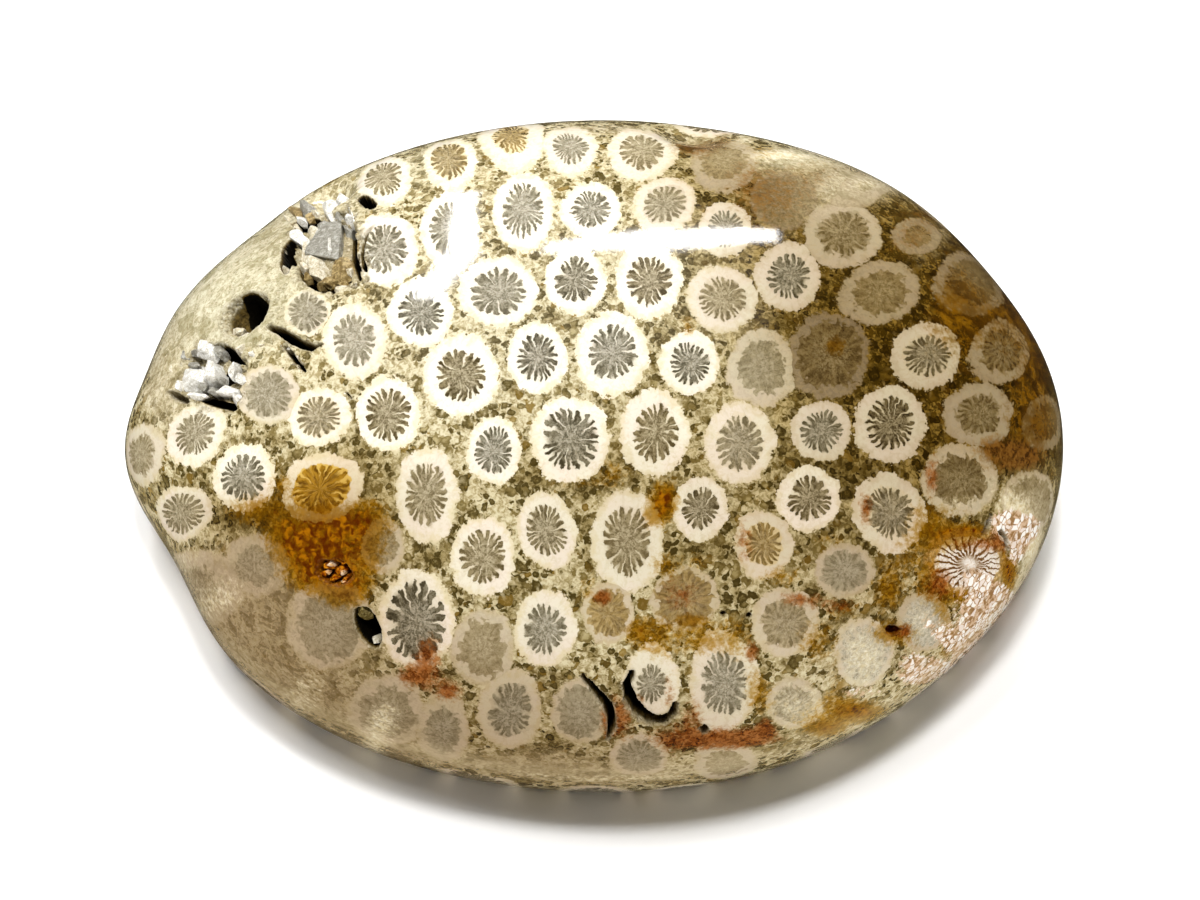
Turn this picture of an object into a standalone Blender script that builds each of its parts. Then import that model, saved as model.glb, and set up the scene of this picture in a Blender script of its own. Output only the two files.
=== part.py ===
"""Fossil coral head: one hand-polished dome of agatised colony coral.

A single natural piece. It is oval in plan with a blunter right end and a
pointed left end, domed on top, eased under its widest line, and cut flat
below. Open vugs, cracks and slots in the stone are cut as real recesses.

Frame: origin at the middle of the flat base, +X along the length, +Y to the
back, +Z up through the crown. Dimensions below are in millimetres.
"""

import math

import bmesh
import bpy
from mathutils import Matrix, Vector, noise

MM = 0.001

# ---- driving dimensions (mm) -------------------------------------------------
HALF_LENGTH = 32.0  # half of the length in plan, before the outline's own bumps
HALF_DEPTH = 23.9  # half of the depth in plan
GIRDLE_HEIGHT = 6.3  # height of the widest line above the base
CROWN_HEIGHT = 24.5  # height of the crown above the base
UNDER_FALL = 20.0  # vertical half axis of the tucked-under lower side
SQUARENESS = 2.12  # exponent of the dome's section, 2 being an ellipse
EDGE_EASE = 0.55  # width of the eased edge round the flat base
POLISH_WAVE = 0.0035  # share of the radius by which hand polishing wanders

AROUND = 92  # points round each ring
RISERS = 25  # rings between the crown and the widest line
TUCK_RISERS = 4  # rings between the widest line and the base

# Departures of the plan outline from an oval: share of the radius, direction
# in degrees from +X, and spread in degrees.
OUTLINE_BUMPS = (
    (0.027, 181.0, 7.0),  # pointed left end
    (-0.036, 200.0, 9.5),  # flat at the near left
    (0.020, 52.0, 12.0),  # far right shoulder
    (-0.008, 30.0, 9.0),
    (-0.023, 319.0, 20.0),  # near right
    (-0.020, 262.0, 20.0),  # near middle
    (-0.003, 345.0, 12.0),
    (0.008, 158.0, 6.0),
    (-0.010, 140.0, 6.0),
)

# Shallow dents of the surface: x, y, z of the middle, depth, spread (mm).
DENTS = (
    (6.3, 19.6, 16.9, 0.95, 1.5),  # nick in the far rim
    (-18.7, 15.2, 15.9, 2.00, 1.3),  # broken ground at the far left
    (-22.4, 12.0, 16.0, 0.20, 2.4),
    (-26.4, 0.6, 17.7, 0.55, 2.6),  # sunken ground round the white vug
)

# Vugs: name, x, y in plan, length, width, depth, turn in plan (deg), raggedness
VUGS = (
    ("vug_black_eye", -23.8, 5.0, 3.3, 2.9, 3.0, 32.0, 0.06),
    ("vug_big_floor", -18.6, 9.5, 6.0, 6.2, 1.4, 20.0, 0.16),
    ("vug_big_east", -16.8, 10.0, 1.5, 3.6, 2.5, 12.0, 0.20),
    ("vug_big_west", -20.9, 8.8, 1.2, 3.0, 2.3, -10.0, 0.20),
    ("vug_white_upper", -25.8, 1.5, 3.0, 2.6, 2.1, 30.0, 0.20),
    ("vug_white_lower", -25.2, -0.9, 2.8, 1.9, 1.9, -25.0, 0.20),
    ("vug_almond", -15.2, -16.8, 1.9, 3.2, 2.6, 8.0, 0.05),
    ("vug_amber", -18.0, -13.0, 3.2, 2.3, 1.5, -30.0, 0.12),
    ("vug_small_right", 19.4, -15.9, 1.1, 0.9, 0.8, 0.0, 0.15),
)

# Slots: name, plan points along the middle, width, depth
SLOTS = (
    (
        "slot_upper",
        ((-22.0, 3.5), (-20.6, 2.6), (-19.2, 1.4), (-17.9, -0.1), (-16.9, -1.0)),
        0.75,
        1.5,
    ),
    ("slot_upper_branch", ((-21.0, 1.2), (-20.2, 0.4), (-19.7, -0.5)), 0.55, 1.1),
    ("crack_left_end", ((-27.4, -0.2), (-26.7, -0.9), (-25.8, -1.6)), 0.50, 1.2),
    (
        "slot_hook",
        ((-1.2, -20.2), (-0.4, -20.7), (0.2, -21.3), (0.5, -21.9), (0.7, -22.5)),
        0.75,
        1.7,
    ),
    (
        "slot_crescent",
        ((1.8, -20.4), (2.0, -21.1), (2.7, -21.8), (3.8, -22.1), (4.8, -22.0)),
        0.85,
        1.8,
    ),
)


# ---- the dome ----------------------------------------------------------------
def outline(angle):
    """Radius of the plan outline as a share of the oval's, at an angle in degrees."""
    total = 1.0
    for amount, centre, spread in OUTLINE_BUMPS:
        off = (angle - centre + 180.0) % 360.0 - 180.0
        total += amount * math.exp(-0.5 * (off / spread) ** 2)
    return total


def dome_point(angle, dip):
    """Point of the surface: angle round the plan, dip from the crown, in degrees."""
    s, c = math.sin(math.radians(dip)), math.cos(math.radians(dip))
    reach = (abs(s) ** SQUARENESS + abs(c) ** SQUARENESS) ** (-1.0 / SQUARENESS)
    rise = CROWN_HEIGHT - GIRDLE_HEIGHT if c > 0.0 else UNDER_FALL
    t = math.radians(angle)
    radius = reach * s * outline(angle)
    wave = POLISH_WAVE * math.sin(math.radians(min(dip, 90.0)) * 2.0) * (
        math.sin(3.0 * t + 0.6) + 0.7 * math.sin(5.0 * t + 2.1) * s
    )
    radius *= 1.0 + wave
    return Vector(
        (
            HALF_LENGTH * radius * math.cos(t),
            HALF_DEPTH * radius * math.sin(t),
            GIRDLE_HEIGHT + rise * reach * c,
        )
    )


def dip_of_base():
    """Dip at which the tucked-under side reaches the eased edge of the base."""
    low, high = 90.0, 150.0
    for _ in range(60):
        middle = 0.5 * (low + high)
        if dome_point(0.0, middle).z > EDGE_EASE:
            low = middle
        else:
            high = middle
    return low


def dented(point, outward):
    """The point pushed in along -outward by every dent that reaches it."""
    depth = 0.0
    for x, y, z, amount, spread in DENTS:
        gap = (point - Vector((x, y, z))).length
        depth += amount * math.exp(-0.5 * (gap / spread) ** 2)
    return point - outward * depth


def outward_at(angle, dip):
    step = 0.4
    a = dome_point(angle + step, dip) - dome_point(angle - step, dip)
    b = dome_point(angle, dip + step) - dome_point(angle, dip - step)
    return a.cross(b).normalized() * -1.0


def angle_dip_at(x, y):
    """Angle and dip of the upper surface above a plan position."""
    t = math.degrees(math.atan2(y / HALF_DEPTH, x / HALF_LENGTH))
    want = math.hypot(x, y)
    low, high = 0.0, 90.0
    for _ in range(50):
        middle = 0.5 * (low + high)
        here = dome_point(t, middle)
        if math.hypot(here.x, here.y) < want:
            low = middle
        else:
            high = middle
    return t, low


def surface_frame(x, y):
    """Point, outward normal and two tangents above a plan position."""
    t, dip = angle_dip_at(x, y)
    point = dome_point(t, dip)
    normal = outward_at(t, dip)
    if normal.z < 0.0:
        normal = -normal
    along = Vector((1.0, 0.0, 0.0))
    along = (along - normal * along.dot(normal)).normalized()
    return point, normal, along, normal.cross(along)


def add_mesh(name, bm):
    mesh = bpy.data.meshes.new(name)
    bm.to_mesh(mesh)
    bm.free()
    made = bpy.data.objects.new(name, mesh)
    bpy.context.scene.collection.objects.link(made)
    return made


def build_dome():
    bm = bmesh.new()
    base_dip = dip_of_base()
    dips = [90.0 * (k / RISERS) ** 0.94 for k in range(1, RISERS + 1)]
    dips += [90.0 + (base_dip - 90.0) * k / TUCK_RISERS for k in range(1, TUCK_RISERS + 1)]
    crown = bm.verts.new(dome_point(0.0, 0.0) * MM)
    rings = []
    for dip in dips:
        ring = []
        for k in range(AROUND):
            angle = 360.0 * k / AROUND
            point = dome_point(angle, dip)
            outward = outward_at(angle, dip)
            if outward.dot(Vector((point.x, point.y, point.z - GIRDLE_HEIGHT + 4.0))) < 0.0:
                outward = -outward
            ring.append(bm.verts.new(dented(point, outward) * MM))
        rings.append(ring)
    last = [v.co / MM for v in rings[-1]]
    for inward, height in ((0.30, 0.22), (1.0, 0.0)):
        ring = []
        for p in last:
            flat = Vector((p.x, p.y, 0.0))
            shrink = 1.0 - EDGE_EASE * inward / flat.length
            ring.append(
                bm.verts.new(
                    Vector((p.x * shrink, p.y * shrink, height * EDGE_EASE)) * MM
                )
            )
        rings.append(ring)
    for k in range(AROUND):
        j = (k + 1) % AROUND
        bm.faces.new((crown, rings[0][k], rings[0][j]))
    for upper, lower in zip(rings, rings[1:]):
        for k in range(AROUND):
            j = (k + 1) % AROUND
            bm.faces.new((upper[k], lower[k], lower[j], upper[j]))
    bm.faces.new(list(reversed(rings[-1])))
    bmesh.ops.recalc_face_normals(bm, faces=bm.faces)
    for face in bm.faces:
        face.smooth = len(face.verts) < 8
    return add_mesh("coral_head", bm)


# ---- the recesses ------------------------------------------------------------
def build_vug(spec):
    name, x, y, length, width, depth, turn, ragged = spec
    point, normal, along, across = surface_frame(x, y)
    bm = bmesh.new()
    bmesh.ops.create_icosphere(bm, subdivisions=2, radius=1.0)
    seed = Vector((x * 1.7, y * 2.3, depth))
    for v in bm.verts:
        v.co *= 1.0 + ragged * noise.noise(v.co * 1.6 + seed)
    t = math.radians(turn)
    first = along * math.cos(t) + across * math.sin(t)
    second = normal.cross(first)
    basis = Matrix((first * length * 0.5, second * width * 0.5, normal * depth)).transposed()
    for v in bm.verts:
        v.co = (point + basis @ v.co) * MM
    bmesh.ops.recalc_face_normals(bm, faces=bm.faces)
    return add_mesh("cut_" + name, bm)


def build_slot(spec):
    name, path, width, depth = spec
    bm = bmesh.new()
    stations = []
    steps = 3 * (len(path) - 1)
    for k in range(steps + 1):
        at = (len(path) - 1) * k / steps
        i = min(int(at), len(path) - 2)
        f = at - i
        x = path[i][0] * (1 - f) + path[i + 1][0] * f
        y = path[i][1] * (1 - f) + path[i + 1][1] * f
        point, normal, _, _ = surface_frame(x, y)
        ahead = Vector((path[i + 1][0] - path[i][0], path[i + 1][1] - path[i][1], 0.0))
        ahead = (ahead - normal * ahead.dot(normal)).normalized()
        side = normal.cross(ahead)
        swell = 0.25 + 0.75 * math.sin(math.pi * (k + 0.6) / (steps + 1.2))
        half, down = 0.5 * width * swell, depth * swell
        ring = (
            point + side * half * 1.15 + normal * 0.7,
            point + side * half,
            point + side * half * 0.72 - normal * down * 0.7,
            point - normal * down,
            point - side * half * 0.72 - normal * down * 0.7,
            point - side * half,
            point - side * half * 1.15 + normal * 0.7,
        )
        stations.append([bm.verts.new(p * MM) for p in ring])
    for near, far in zip(stations, stations[1:]):
        count = len(near)
        for k in range(count):
            j = (k + 1) % count
            bm.faces.new((near[k], near[j], far[j], far[k]))
    bm.faces.new(list(reversed(stations[0])))
    bm.faces.new(stations[-1])
    bmesh.ops.recalc_face_normals(bm, faces=bm.faces)
    return add_mesh("cut_" + name, bm)


def cut(body, cutter):
    cutter.hide_render = True
    cutter.display_type = "WIRE"
    modifier = body.modifiers.new(cutter.name, "BOOLEAN")
    modifier.operation = "DIFFERENCE"
    modifier.solver = "EXACT"
    modifier.object = cutter


def stone_material():
    material = bpy.data.materials.new("coral_stone")
    material.use_nodes = True
    shader = material.node_tree.nodes["Principled BSDF"]
    shader.inputs["Base Color"].default_value = (0.46, 0.37, 0.24, 1.0)
    shader.inputs["Roughness"].default_value = 0.16
    shader.inputs["Metallic"].default_value = 0.0
    return material


def main():
    for old in list(bpy.data.objects):
        bpy.data.objects.remove(old, do_unlink=True)
    body = build_dome()
    body.data.materials.append(stone_material())
    for spec in VUGS:
        cut(body, build_vug(spec))
    for spec in SLOTS:
        cut(body, build_slot(spec))


main()
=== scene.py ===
import math

import bpy
import bmesh
import numpy as np
from mathutils import Matrix, Vector


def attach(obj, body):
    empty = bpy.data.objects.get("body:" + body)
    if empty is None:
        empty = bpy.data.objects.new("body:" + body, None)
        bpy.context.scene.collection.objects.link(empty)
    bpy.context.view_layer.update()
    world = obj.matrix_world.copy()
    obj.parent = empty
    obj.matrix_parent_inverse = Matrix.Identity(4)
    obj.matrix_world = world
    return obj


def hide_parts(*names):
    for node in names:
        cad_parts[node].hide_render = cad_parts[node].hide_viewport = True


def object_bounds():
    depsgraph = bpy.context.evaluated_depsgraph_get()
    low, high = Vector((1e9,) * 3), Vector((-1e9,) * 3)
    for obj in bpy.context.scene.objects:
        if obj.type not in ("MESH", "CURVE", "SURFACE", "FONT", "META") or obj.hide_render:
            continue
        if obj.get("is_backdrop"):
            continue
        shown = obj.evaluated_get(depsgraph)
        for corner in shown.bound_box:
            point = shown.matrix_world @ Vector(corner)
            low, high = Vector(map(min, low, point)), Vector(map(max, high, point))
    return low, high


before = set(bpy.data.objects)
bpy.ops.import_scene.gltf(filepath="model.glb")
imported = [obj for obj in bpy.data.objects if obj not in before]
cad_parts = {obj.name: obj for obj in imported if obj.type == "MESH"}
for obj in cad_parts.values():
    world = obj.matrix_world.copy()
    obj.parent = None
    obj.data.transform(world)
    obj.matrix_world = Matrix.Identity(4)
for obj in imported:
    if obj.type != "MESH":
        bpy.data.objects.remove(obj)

CAD_BOX = [list(map(float, corner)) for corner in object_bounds()]
MM = 0.001

# =============================================================================
# The stone's form, in millimetres: the same dome as the CAD solid, made finer.
# =============================================================================
HALF_LENGTH, HALF_DEPTH = 32.0, 23.9
GIRDLE_HEIGHT, CROWN_HEIGHT, UNDER_FALL = 6.3, 24.5, 20.0
SQUARENESS, EDGE_EASE, POLISH_WAVE = 2.12, 0.55, 0.0035
OUTLINE_BUMPS = (
    (0.027, 181.0, 7.0), (-0.036, 200.0, 9.5), (0.020, 52.0, 12.0),
    (-0.008, 30.0, 9.0), (-0.023, 319.0, 20.0), (-0.020, 262.0, 20.0),
    (-0.003, 345.0, 12.0), (0.008, 158.0, 6.0), (-0.010, 140.0, 6.0),
)
DENTS = (
    (6.3, 19.6, 16.9, 0.95, 1.5), (-18.7, 15.2, 15.9, 2.00, 1.3),
    (-22.4, 12.0, 16.0, 0.20, 2.4), (-26.4, 0.6, 17.7, 0.55, 2.6),
)


def outline(angle):
    total = np.ones_like(angle)
    for amount, centre, spread in OUTLINE_BUMPS:
        off = (angle - centre + 180.0) % 360.0 - 180.0
        total = total + amount * np.exp(-0.5 * (off / spread) ** 2)
    return total


def dome_points(angle, dip):
    angle, dip = np.broadcast_arrays(np.asarray(angle, float), np.asarray(dip, float))
    s, c = np.sin(np.radians(dip)), np.cos(np.radians(dip))
    reach = (np.abs(s) ** SQUARENESS + np.abs(c) ** SQUARENESS) ** (-1.0 / SQUARENESS)
    rise = np.where(c > 0.0, CROWN_HEIGHT - GIRDLE_HEIGHT, UNDER_FALL)
    t = np.radians(angle)
    wave = POLISH_WAVE * np.sin(np.radians(np.minimum(dip, 90.0)) * 2.0) * (
        np.sin(3.0 * t + 0.6) + 0.7 * np.sin(5.0 * t + 2.1) * s
    )
    radius = reach * s * outline(angle) * (1.0 + wave)
    return np.stack(
        [HALF_LENGTH * radius * np.cos(t), HALF_DEPTH * radius * np.sin(t),
         GIRDLE_HEIGHT + rise * reach * c], -1)


def unit(v):
    return v / np.maximum(np.linalg.norm(v, axis=-1, keepdims=True), 1e-12)


# ---- the viewing direction of the reference picture, 1200 x 900 --------------
ELEVATION, DISTANCE, PX_PER_MM = 66.0, 330.0, 14.53
AIM = np.array([0.0, 0.0, 7.0])
_e = math.radians(ELEVATION)
BACK = np.array([0.0, -math.cos(_e), math.sin(_e)])
RIGHT = np.array([1.0, 0.0, 0.0])
UP = np.cross(RIGHT, -BACK)
EYE = AIM + BACK * DISTANCE


def seen_at(p):
    d = np.asarray(p) - EYE
    depth = d @ -BACK
    f = PX_PER_MM * DISTANCE
    return np.stack([600.0 + f * (d @ RIGHT) / depth, 450.0 - f * (d @ UP) / depth], -1)


def on_stone(x, y):
    """Point and outward normal of the dome that shows at a place of the picture."""
    f = PX_PER_MM * DISTANCE
    ray = -BACK + (x - 600.0) / f * RIGHT - (y - 450.0) / f * UP
    ray = ray / np.linalg.norm(ray)

    def level(p):
        angle = np.degrees(np.arctan2(p[..., 1] / HALF_DEPTH, p[..., 0] / HALF_LENGTH))
        rho = np.hypot(p[..., 0] / HALF_LENGTH, p[..., 1] / HALF_DEPTH) / outline(angle)
        h = np.where(p[..., 2] > GIRDLE_HEIGHT, CROWN_HEIGHT - GIRDLE_HEIGHT, UNDER_FALL)
        return rho ** SQUARENESS + (np.abs(p[..., 2] - GIRDLE_HEIGHT) / h) ** SQUARENESS - 1.0

    steps = np.arange(DISTANCE - 60.0, DISTANCE + 60.0, 0.05)
    values = level(EYE + ray * steps[:, None])
    inside = np.nonzero(values < 0.0)[0]
    at = steps[inside[0]] if len(inside) else steps[np.argmin(values)]
    p = EYE + ray * at
    e = 1e-3
    n = np.array([level(p + e * k) - level(p - e * k) for k in np.eye(3)])
    return p, n / np.linalg.norm(n)


def patch_axes(p, n, wide, high, turn):
    """Two vectors across the surface such that an ellipse of the picture, wide x
    high pixels turned by turn degrees, becomes the unit circle of its own plane."""
    a = unit(np.cross([0.0, 1.0, 0.0], n))
    b = np.cross(n, a)
    e = 0.01
    ja = (seen_at(p + a * e) - seen_at(p - a * e)) / (2 * e)
    jb = (seen_at(p + b * e) - seen_at(p - b * e)) / (2 * e)
    t = math.radians(turn)
    to_unit = np.array([[math.cos(t) * 2 / wide, -math.sin(t) * 2 / wide],
                        [-math.sin(t) * 2 / high, -math.cos(t) * 2 / high]])
    m = to_unit @ np.stack([ja, jb], 1)
    return m[0, 0] * a + m[0, 1] * b, m[1, 0] * a + m[1, 1] * b


# ---- smooth random fields on arrays ------------------------------------------
def lattice(i, j, k, seed):
    h = (i * 374761393 + j * 668265263 + k * 2147483647 + seed * 974634777) & 0xFFFFFFFF
    h = ((h ^ (h >> 13)) * 1274126177) & 0xFFFFFFFF
    h = ((h ^ (h >> 16)) * 2246822519) & 0xFFFFFFFF
    return ((h ^ (h >> 15)) & 0xFFFFFF) / float(0xFFFFFF)


def soft_noise(p, scale, seed=0, octaves=1):
    """Values about -1 to 1 of a smooth random field at points p (n x 3)."""
    total, weight, most = 0.0, 1.0, 0.0
    for o in range(octaves):
        q = np.asarray(p) * scale * 2.0 ** o + 17.3 * o
        base = np.floor(q).astype(np.int64)
        f = q - base
        f = f * f * (3.0 - 2.0 * f)
        value = 0.0
        for corner in range(8):
            di, dj, dk = corner & 1, (corner >> 1) & 1, (corner >> 2) & 1
            w = (np.where(di, f[:, 0], 1 - f[:, 0]) * np.where(dj, f[:, 1], 1 - f[:, 1])
                 * np.where(dk, f[:, 2], 1 - f[:, 2]))
            value = value + w * lattice(base[:, 0] + di, base[:, 1] + dj, base[:, 2] + dk, seed + o)
        total = total + weight * (2.0 * value - 1.0)
        most += weight
        weight *= 0.5
    return total / most


def ease(x, low, high):
    t = np.clip((x - low) / (high - low), 0.0, 1.0)
    return t * t * (3.0 - 2.0 * t)


# =============================================================================
# What is seen on the stone, by its place in the picture (px of 1200 x 900).
# =============================================================================
# Corallites: x, y, wide, high, turn, calice share, wall, dark, clear, fill
CORALLITES = (
    (511, 135, 68, 50, 0, .52, 1.0, .55, .8, .35),
    (449, 159, 54, 56, 0, .66, 1.0, .70, .9, .25),
    (383, 177, 58, 48, 20, .66, .95, .60, .9, 0),
    (570, 146, 56, 50, 0, .62, .95, .50, .7, 0),
    (642, 150, 72, 56, 0, .62, .90, .45, .7, 0),
    (725, 160, 70, 54, 0, .62, .45, .30, .15, .1),
    (784, 198, 66, 60, 0, .84, .12, .25, .05, .1),
    (868, 184, 66, 34, 24, .30, .55, .10, .05, 0),
    (524, 209, 62, 84, 0, .64, 1.0, .55, .9, 0),
    (590, 209, 62, 58, 0, .62, 1.0, .70, .9, 0),
    (665, 204, 66, 54, 15, .66, .95, .45, .6, 0),
    (725, 229, 54, 56, 0, .64, .80, .60, .8, 0),
    (844, 233, 80, 67, 0, .62, .66, .62, .45, 0),
    (918, 235, 50, 38, 0, .50, .40, .30, .05, .2),
    (974, 281, 72, 60, -28, .66, .25, .80, .25, .25),
    (385, 248, 68, 72, 0, .64, 1.0, .70, .9, 0),
    (450, 228, 60, 78, 0, .66, 1.0, .60, .9, 0),
    (420, 312, 66, 72, 0, .66, 1.0, .80, 1.0, 0),
    (498, 292, 80, 72, 0, .64, 1.0, .60, .9, 0),
    (576, 280, 62, 68, 0, .66, 1.0, .80, 1.0, 0),
    (649, 280, 70, 76, 0, .64, 1.0, .80, 1.0, 0),
    (722, 299, 71, 68, 0, .64, .90, .50, .65, 0),
    (788, 277, 67, 71, 0, .62, .74, .80, .9, 0),
    (881, 292, 84, 64, 12, .64, .56, .38, .15, .05),
    (1002, 351, 60, 66, -20, .66, .48, .85, .35, .25),
    (307, 312, 48, 46, 0, .80, .95, .75, .55, 0),
    (354, 340, 66, 76, 0, .66, 1.0, .45, .7, 0),
    (461, 375, 78, 84, 0, .60, 1.0, .80, 1.0, 0),
    (537, 358, 60, 72, 0, .66, 1.0, .90, 1.0, 0),
    (612, 353, 76, 86, 0, .62, 1.0, .72, 1.0, 0),
    (690, 363, 62, 64, 0, .64, .98, .85, 1.0, 0),
    (762, 368, 72, 78, 0, .66, .95, .10, .12, 0),
    (829, 354, 82, 88, 0, .74, .06, 1.0, .22, .10),
    (927, 355, 72, 66, 0, .64, .74, .80, .85, .08),
    (266, 394, 64, 62, 0, .72, .85, .45, .4, 0),
    (319, 417, 64, 60, 0, .68, 1.0, .55, .9, .15),
    (388, 414, 66, 76, 0, .68, 1.0, .72, 1.0, 0),
    (494, 451, 56, 68, 0, .66, 1.0, .75, 1.0, 0),
    (571, 439, 81, 88, 0, .68, 1.0, .85, 1.0, 0),
    (655, 433, 70, 88, 0, .64, 1.0, .68, .9, 0),
    (740, 443, 72, 83, 0, .66, .95, .50, .75, .10),
    (821, 431, 62, 62, 0, .66, .76, .72, .85, 0),
    (891, 424, 74, 78, 0, .66, .76, 1.0, 1.0, 0),
    (980, 414, 72, 66, 0, .62, .54, .78, .45, .06),
    (1046, 422, 40, 56, 0, .62, .35, .60, .2, .45),
    (192, 434, 58, 68, -25, .64, .95, .60, .8, 0),
    (139, 455, 40, 64, 0, .62, .80, .45, .4, 0),
    (243, 478, 64, 71, 0, .68, .98, .65, 1.0, 0),
    (321, 488, 84, 70, 20, .66, .98, .45, .8, 1.0),
    (181, 514, 55, 56, 0, .72, .75, .55, .9, 0),
    (427, 494, 66, 96, 0, .66, .92, .55, .8, 0),
    (700, 509, 57, 64, 0, .64, .86, .80, .9, 0),
    (809, 499, 64, 66, 0, .66, .94, .75, 1.0, 0),
    (891, 513, 72, 84, 22, .64, .78, .70, .9, .12),
    (961, 480, 78, 76, 0, .62, .95, .80, .22, .05),
    (1034, 503, 52, 66, 0, .74, .95, .15, .1, 0),
    (483, 557, 66, 82, 0, .66, .92, .60, .85, 0),
    (547, 531, 60, 80, 15, .66, .82, .72, .9, 0),
    (627, 540, 74, 106, 0, .64, .88, .65, .7, 0),
    (764, 545, 62, 70, 0, .62, .80, .65, .7, .35),
    (845, 571, 62, 56, 0, .72, .55, .30, .35, 0),
    (970, 564, 82, 66, 0, .76, .60, .0, .95, -1.0),
    (383, 547, 44, 58, 0, .66, .70, .25, .15, .1),
    (416, 622, 78, 104, 0, .74, .88, .85, 1.0, 0),
    (545, 629, 64, 80, 0, .64, .88, .62, .8, 0),
    (482, 650, 66, 80, 0, .66, .72, .30, .15, 0),
    (608, 613, 52, 66, 0, .72, .66, .55, .35, .45),
    (685, 600, 70, 66, 0, .80, .60, .80, .25, .50),
    (786, 624, 70, 68, 0, .66, .68, .50, .4, .15),
    (865, 655, 60, 70, 0, .80, .80, .0, .45, 0),
    (926, 624, 54, 60, 0, .76, .50, .0, .45, 0),
    (510, 712, 66, 84, 0, .64, .60, .60, .55, 0),
    (651, 683, 58, 78, 0, .52, .90, .70, .7, 0),
    (724, 684, 70, 104, 0, .62, .76, .62, .7, 0),
    (580, 713, 60, 66, 0, .74, .62, .30, .25, 0),
    (385, 716, 82, 70, 0, .66, .56, .40, .2, 0),
    (442, 732, 54, 74, 0, .60, .58, .45, .3, 0),
    (795, 705, 56, 54, 0, .70, .62, .35, .25, 0),
    (640, 757, 60, 44, 0, .72, .62, .50, .4, 0),
    (726, 764, 66, 40, 0, .62, .66, .25, .2, 0),
    (328, 628, 92, 92, -30, .70, .66, .35, .16, 0),
    (255, 566, 66, 64, -30, .60, .58, .25, .10, 0),
    (194, 590, 46, 84, 28, .55, .56, .25, .15, .1),
    (328, 244, 60, 68, 0, .80, .45, .35, .1, 0),
)

# Open vugs: x, y, long, wide, turn, depth in mm (negative stands proud), raggedness
VUGS = (
    (243, 313, 58, 37, 39, 1.7, .05), (248, 307, 36, 30, 62, 4.8, .03),
    (325, 246, 84, 84, 0, 0.95, .14), (287, 255, 40, 14, 84, 2.8, .10),
    (307, 221, 34, 12, 8, 2.2, .14), (367, 202, 20, 12, -28, 2.2, .12),
    (300, 238, 14, 12, 20, 1.4, .2), (341, 214, 20, 8, 0, 1.5, .2),
    (209, 371, 68, 72, 0, 0.85, .16), (219, 369, 21, 15, 74, 3.6, .10),
    (226, 350, 26, 12, -32, 2.6, .12), (212, 402, 48, 10, -16, 2.6, .10),
    (233, 385, 24, 9, 80, 2.6, .12), (196, 359, 16, 7, 30, 1.8, .2),
    (174, 396, 26, 9, -30, 1.2, .2),
    (368, 627, 46, 24, -66, 3.4, .06), (334, 573, 40, 28, -20, 1.0, .20),
    (893, 631, 13, 11, 0, .9, .2), (749, 615, 7, 6, 0, .5, .2),
    (704, 729, 9, 7, 0, .6, .2), (723, 613, 6, 5, 0, .4, .2),
)
# The sunken corallite stands up from the floor of its vug.
KNOBS = ((327, 247, 56, 56, 0, 0.25, .08),)
# Slots and cracks: picture points along the middle, width px, depth mm
SLOTS = (
    (((268, 326), (279, 330), (290, 337), (301, 344), (312, 347), (321, 344)), 11.5, 3.0),
    (((283, 344), (291, 354), (298, 363), (305, 371)), 7.0, 2.6),
    (((299, 256), (302, 270), (311, 281), (325, 288), (339, 284), (349, 272)), 14.0, 2.8),
    (((347, 206), (350, 222), (352, 238), (352, 254), (357, 270), (360, 280)), 8.0, 3.4),
    (((374, 226), (367, 233), (362, 246), (361, 258), (366, 270)), 7.0, 2.8),
    (((345, 392), (352, 399)), 3.0, 0.5),
    (((583, 677), (592, 686), (600, 695), (607, 705), (611, 716), (612, 726), (608, 738)), 11.5, 2.8),
    (((632, 672), (627, 684), (630, 698), (638, 710), (650, 719), (662, 720), (672, 714), (675, 704)), 15.0, 3.2),
    (((992, 516), (988, 526), (984, 535)), 6.0, 1.0),
    (((1001, 530), (1007, 541), (1008, 553)), 6.0, 1.0),
)
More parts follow.
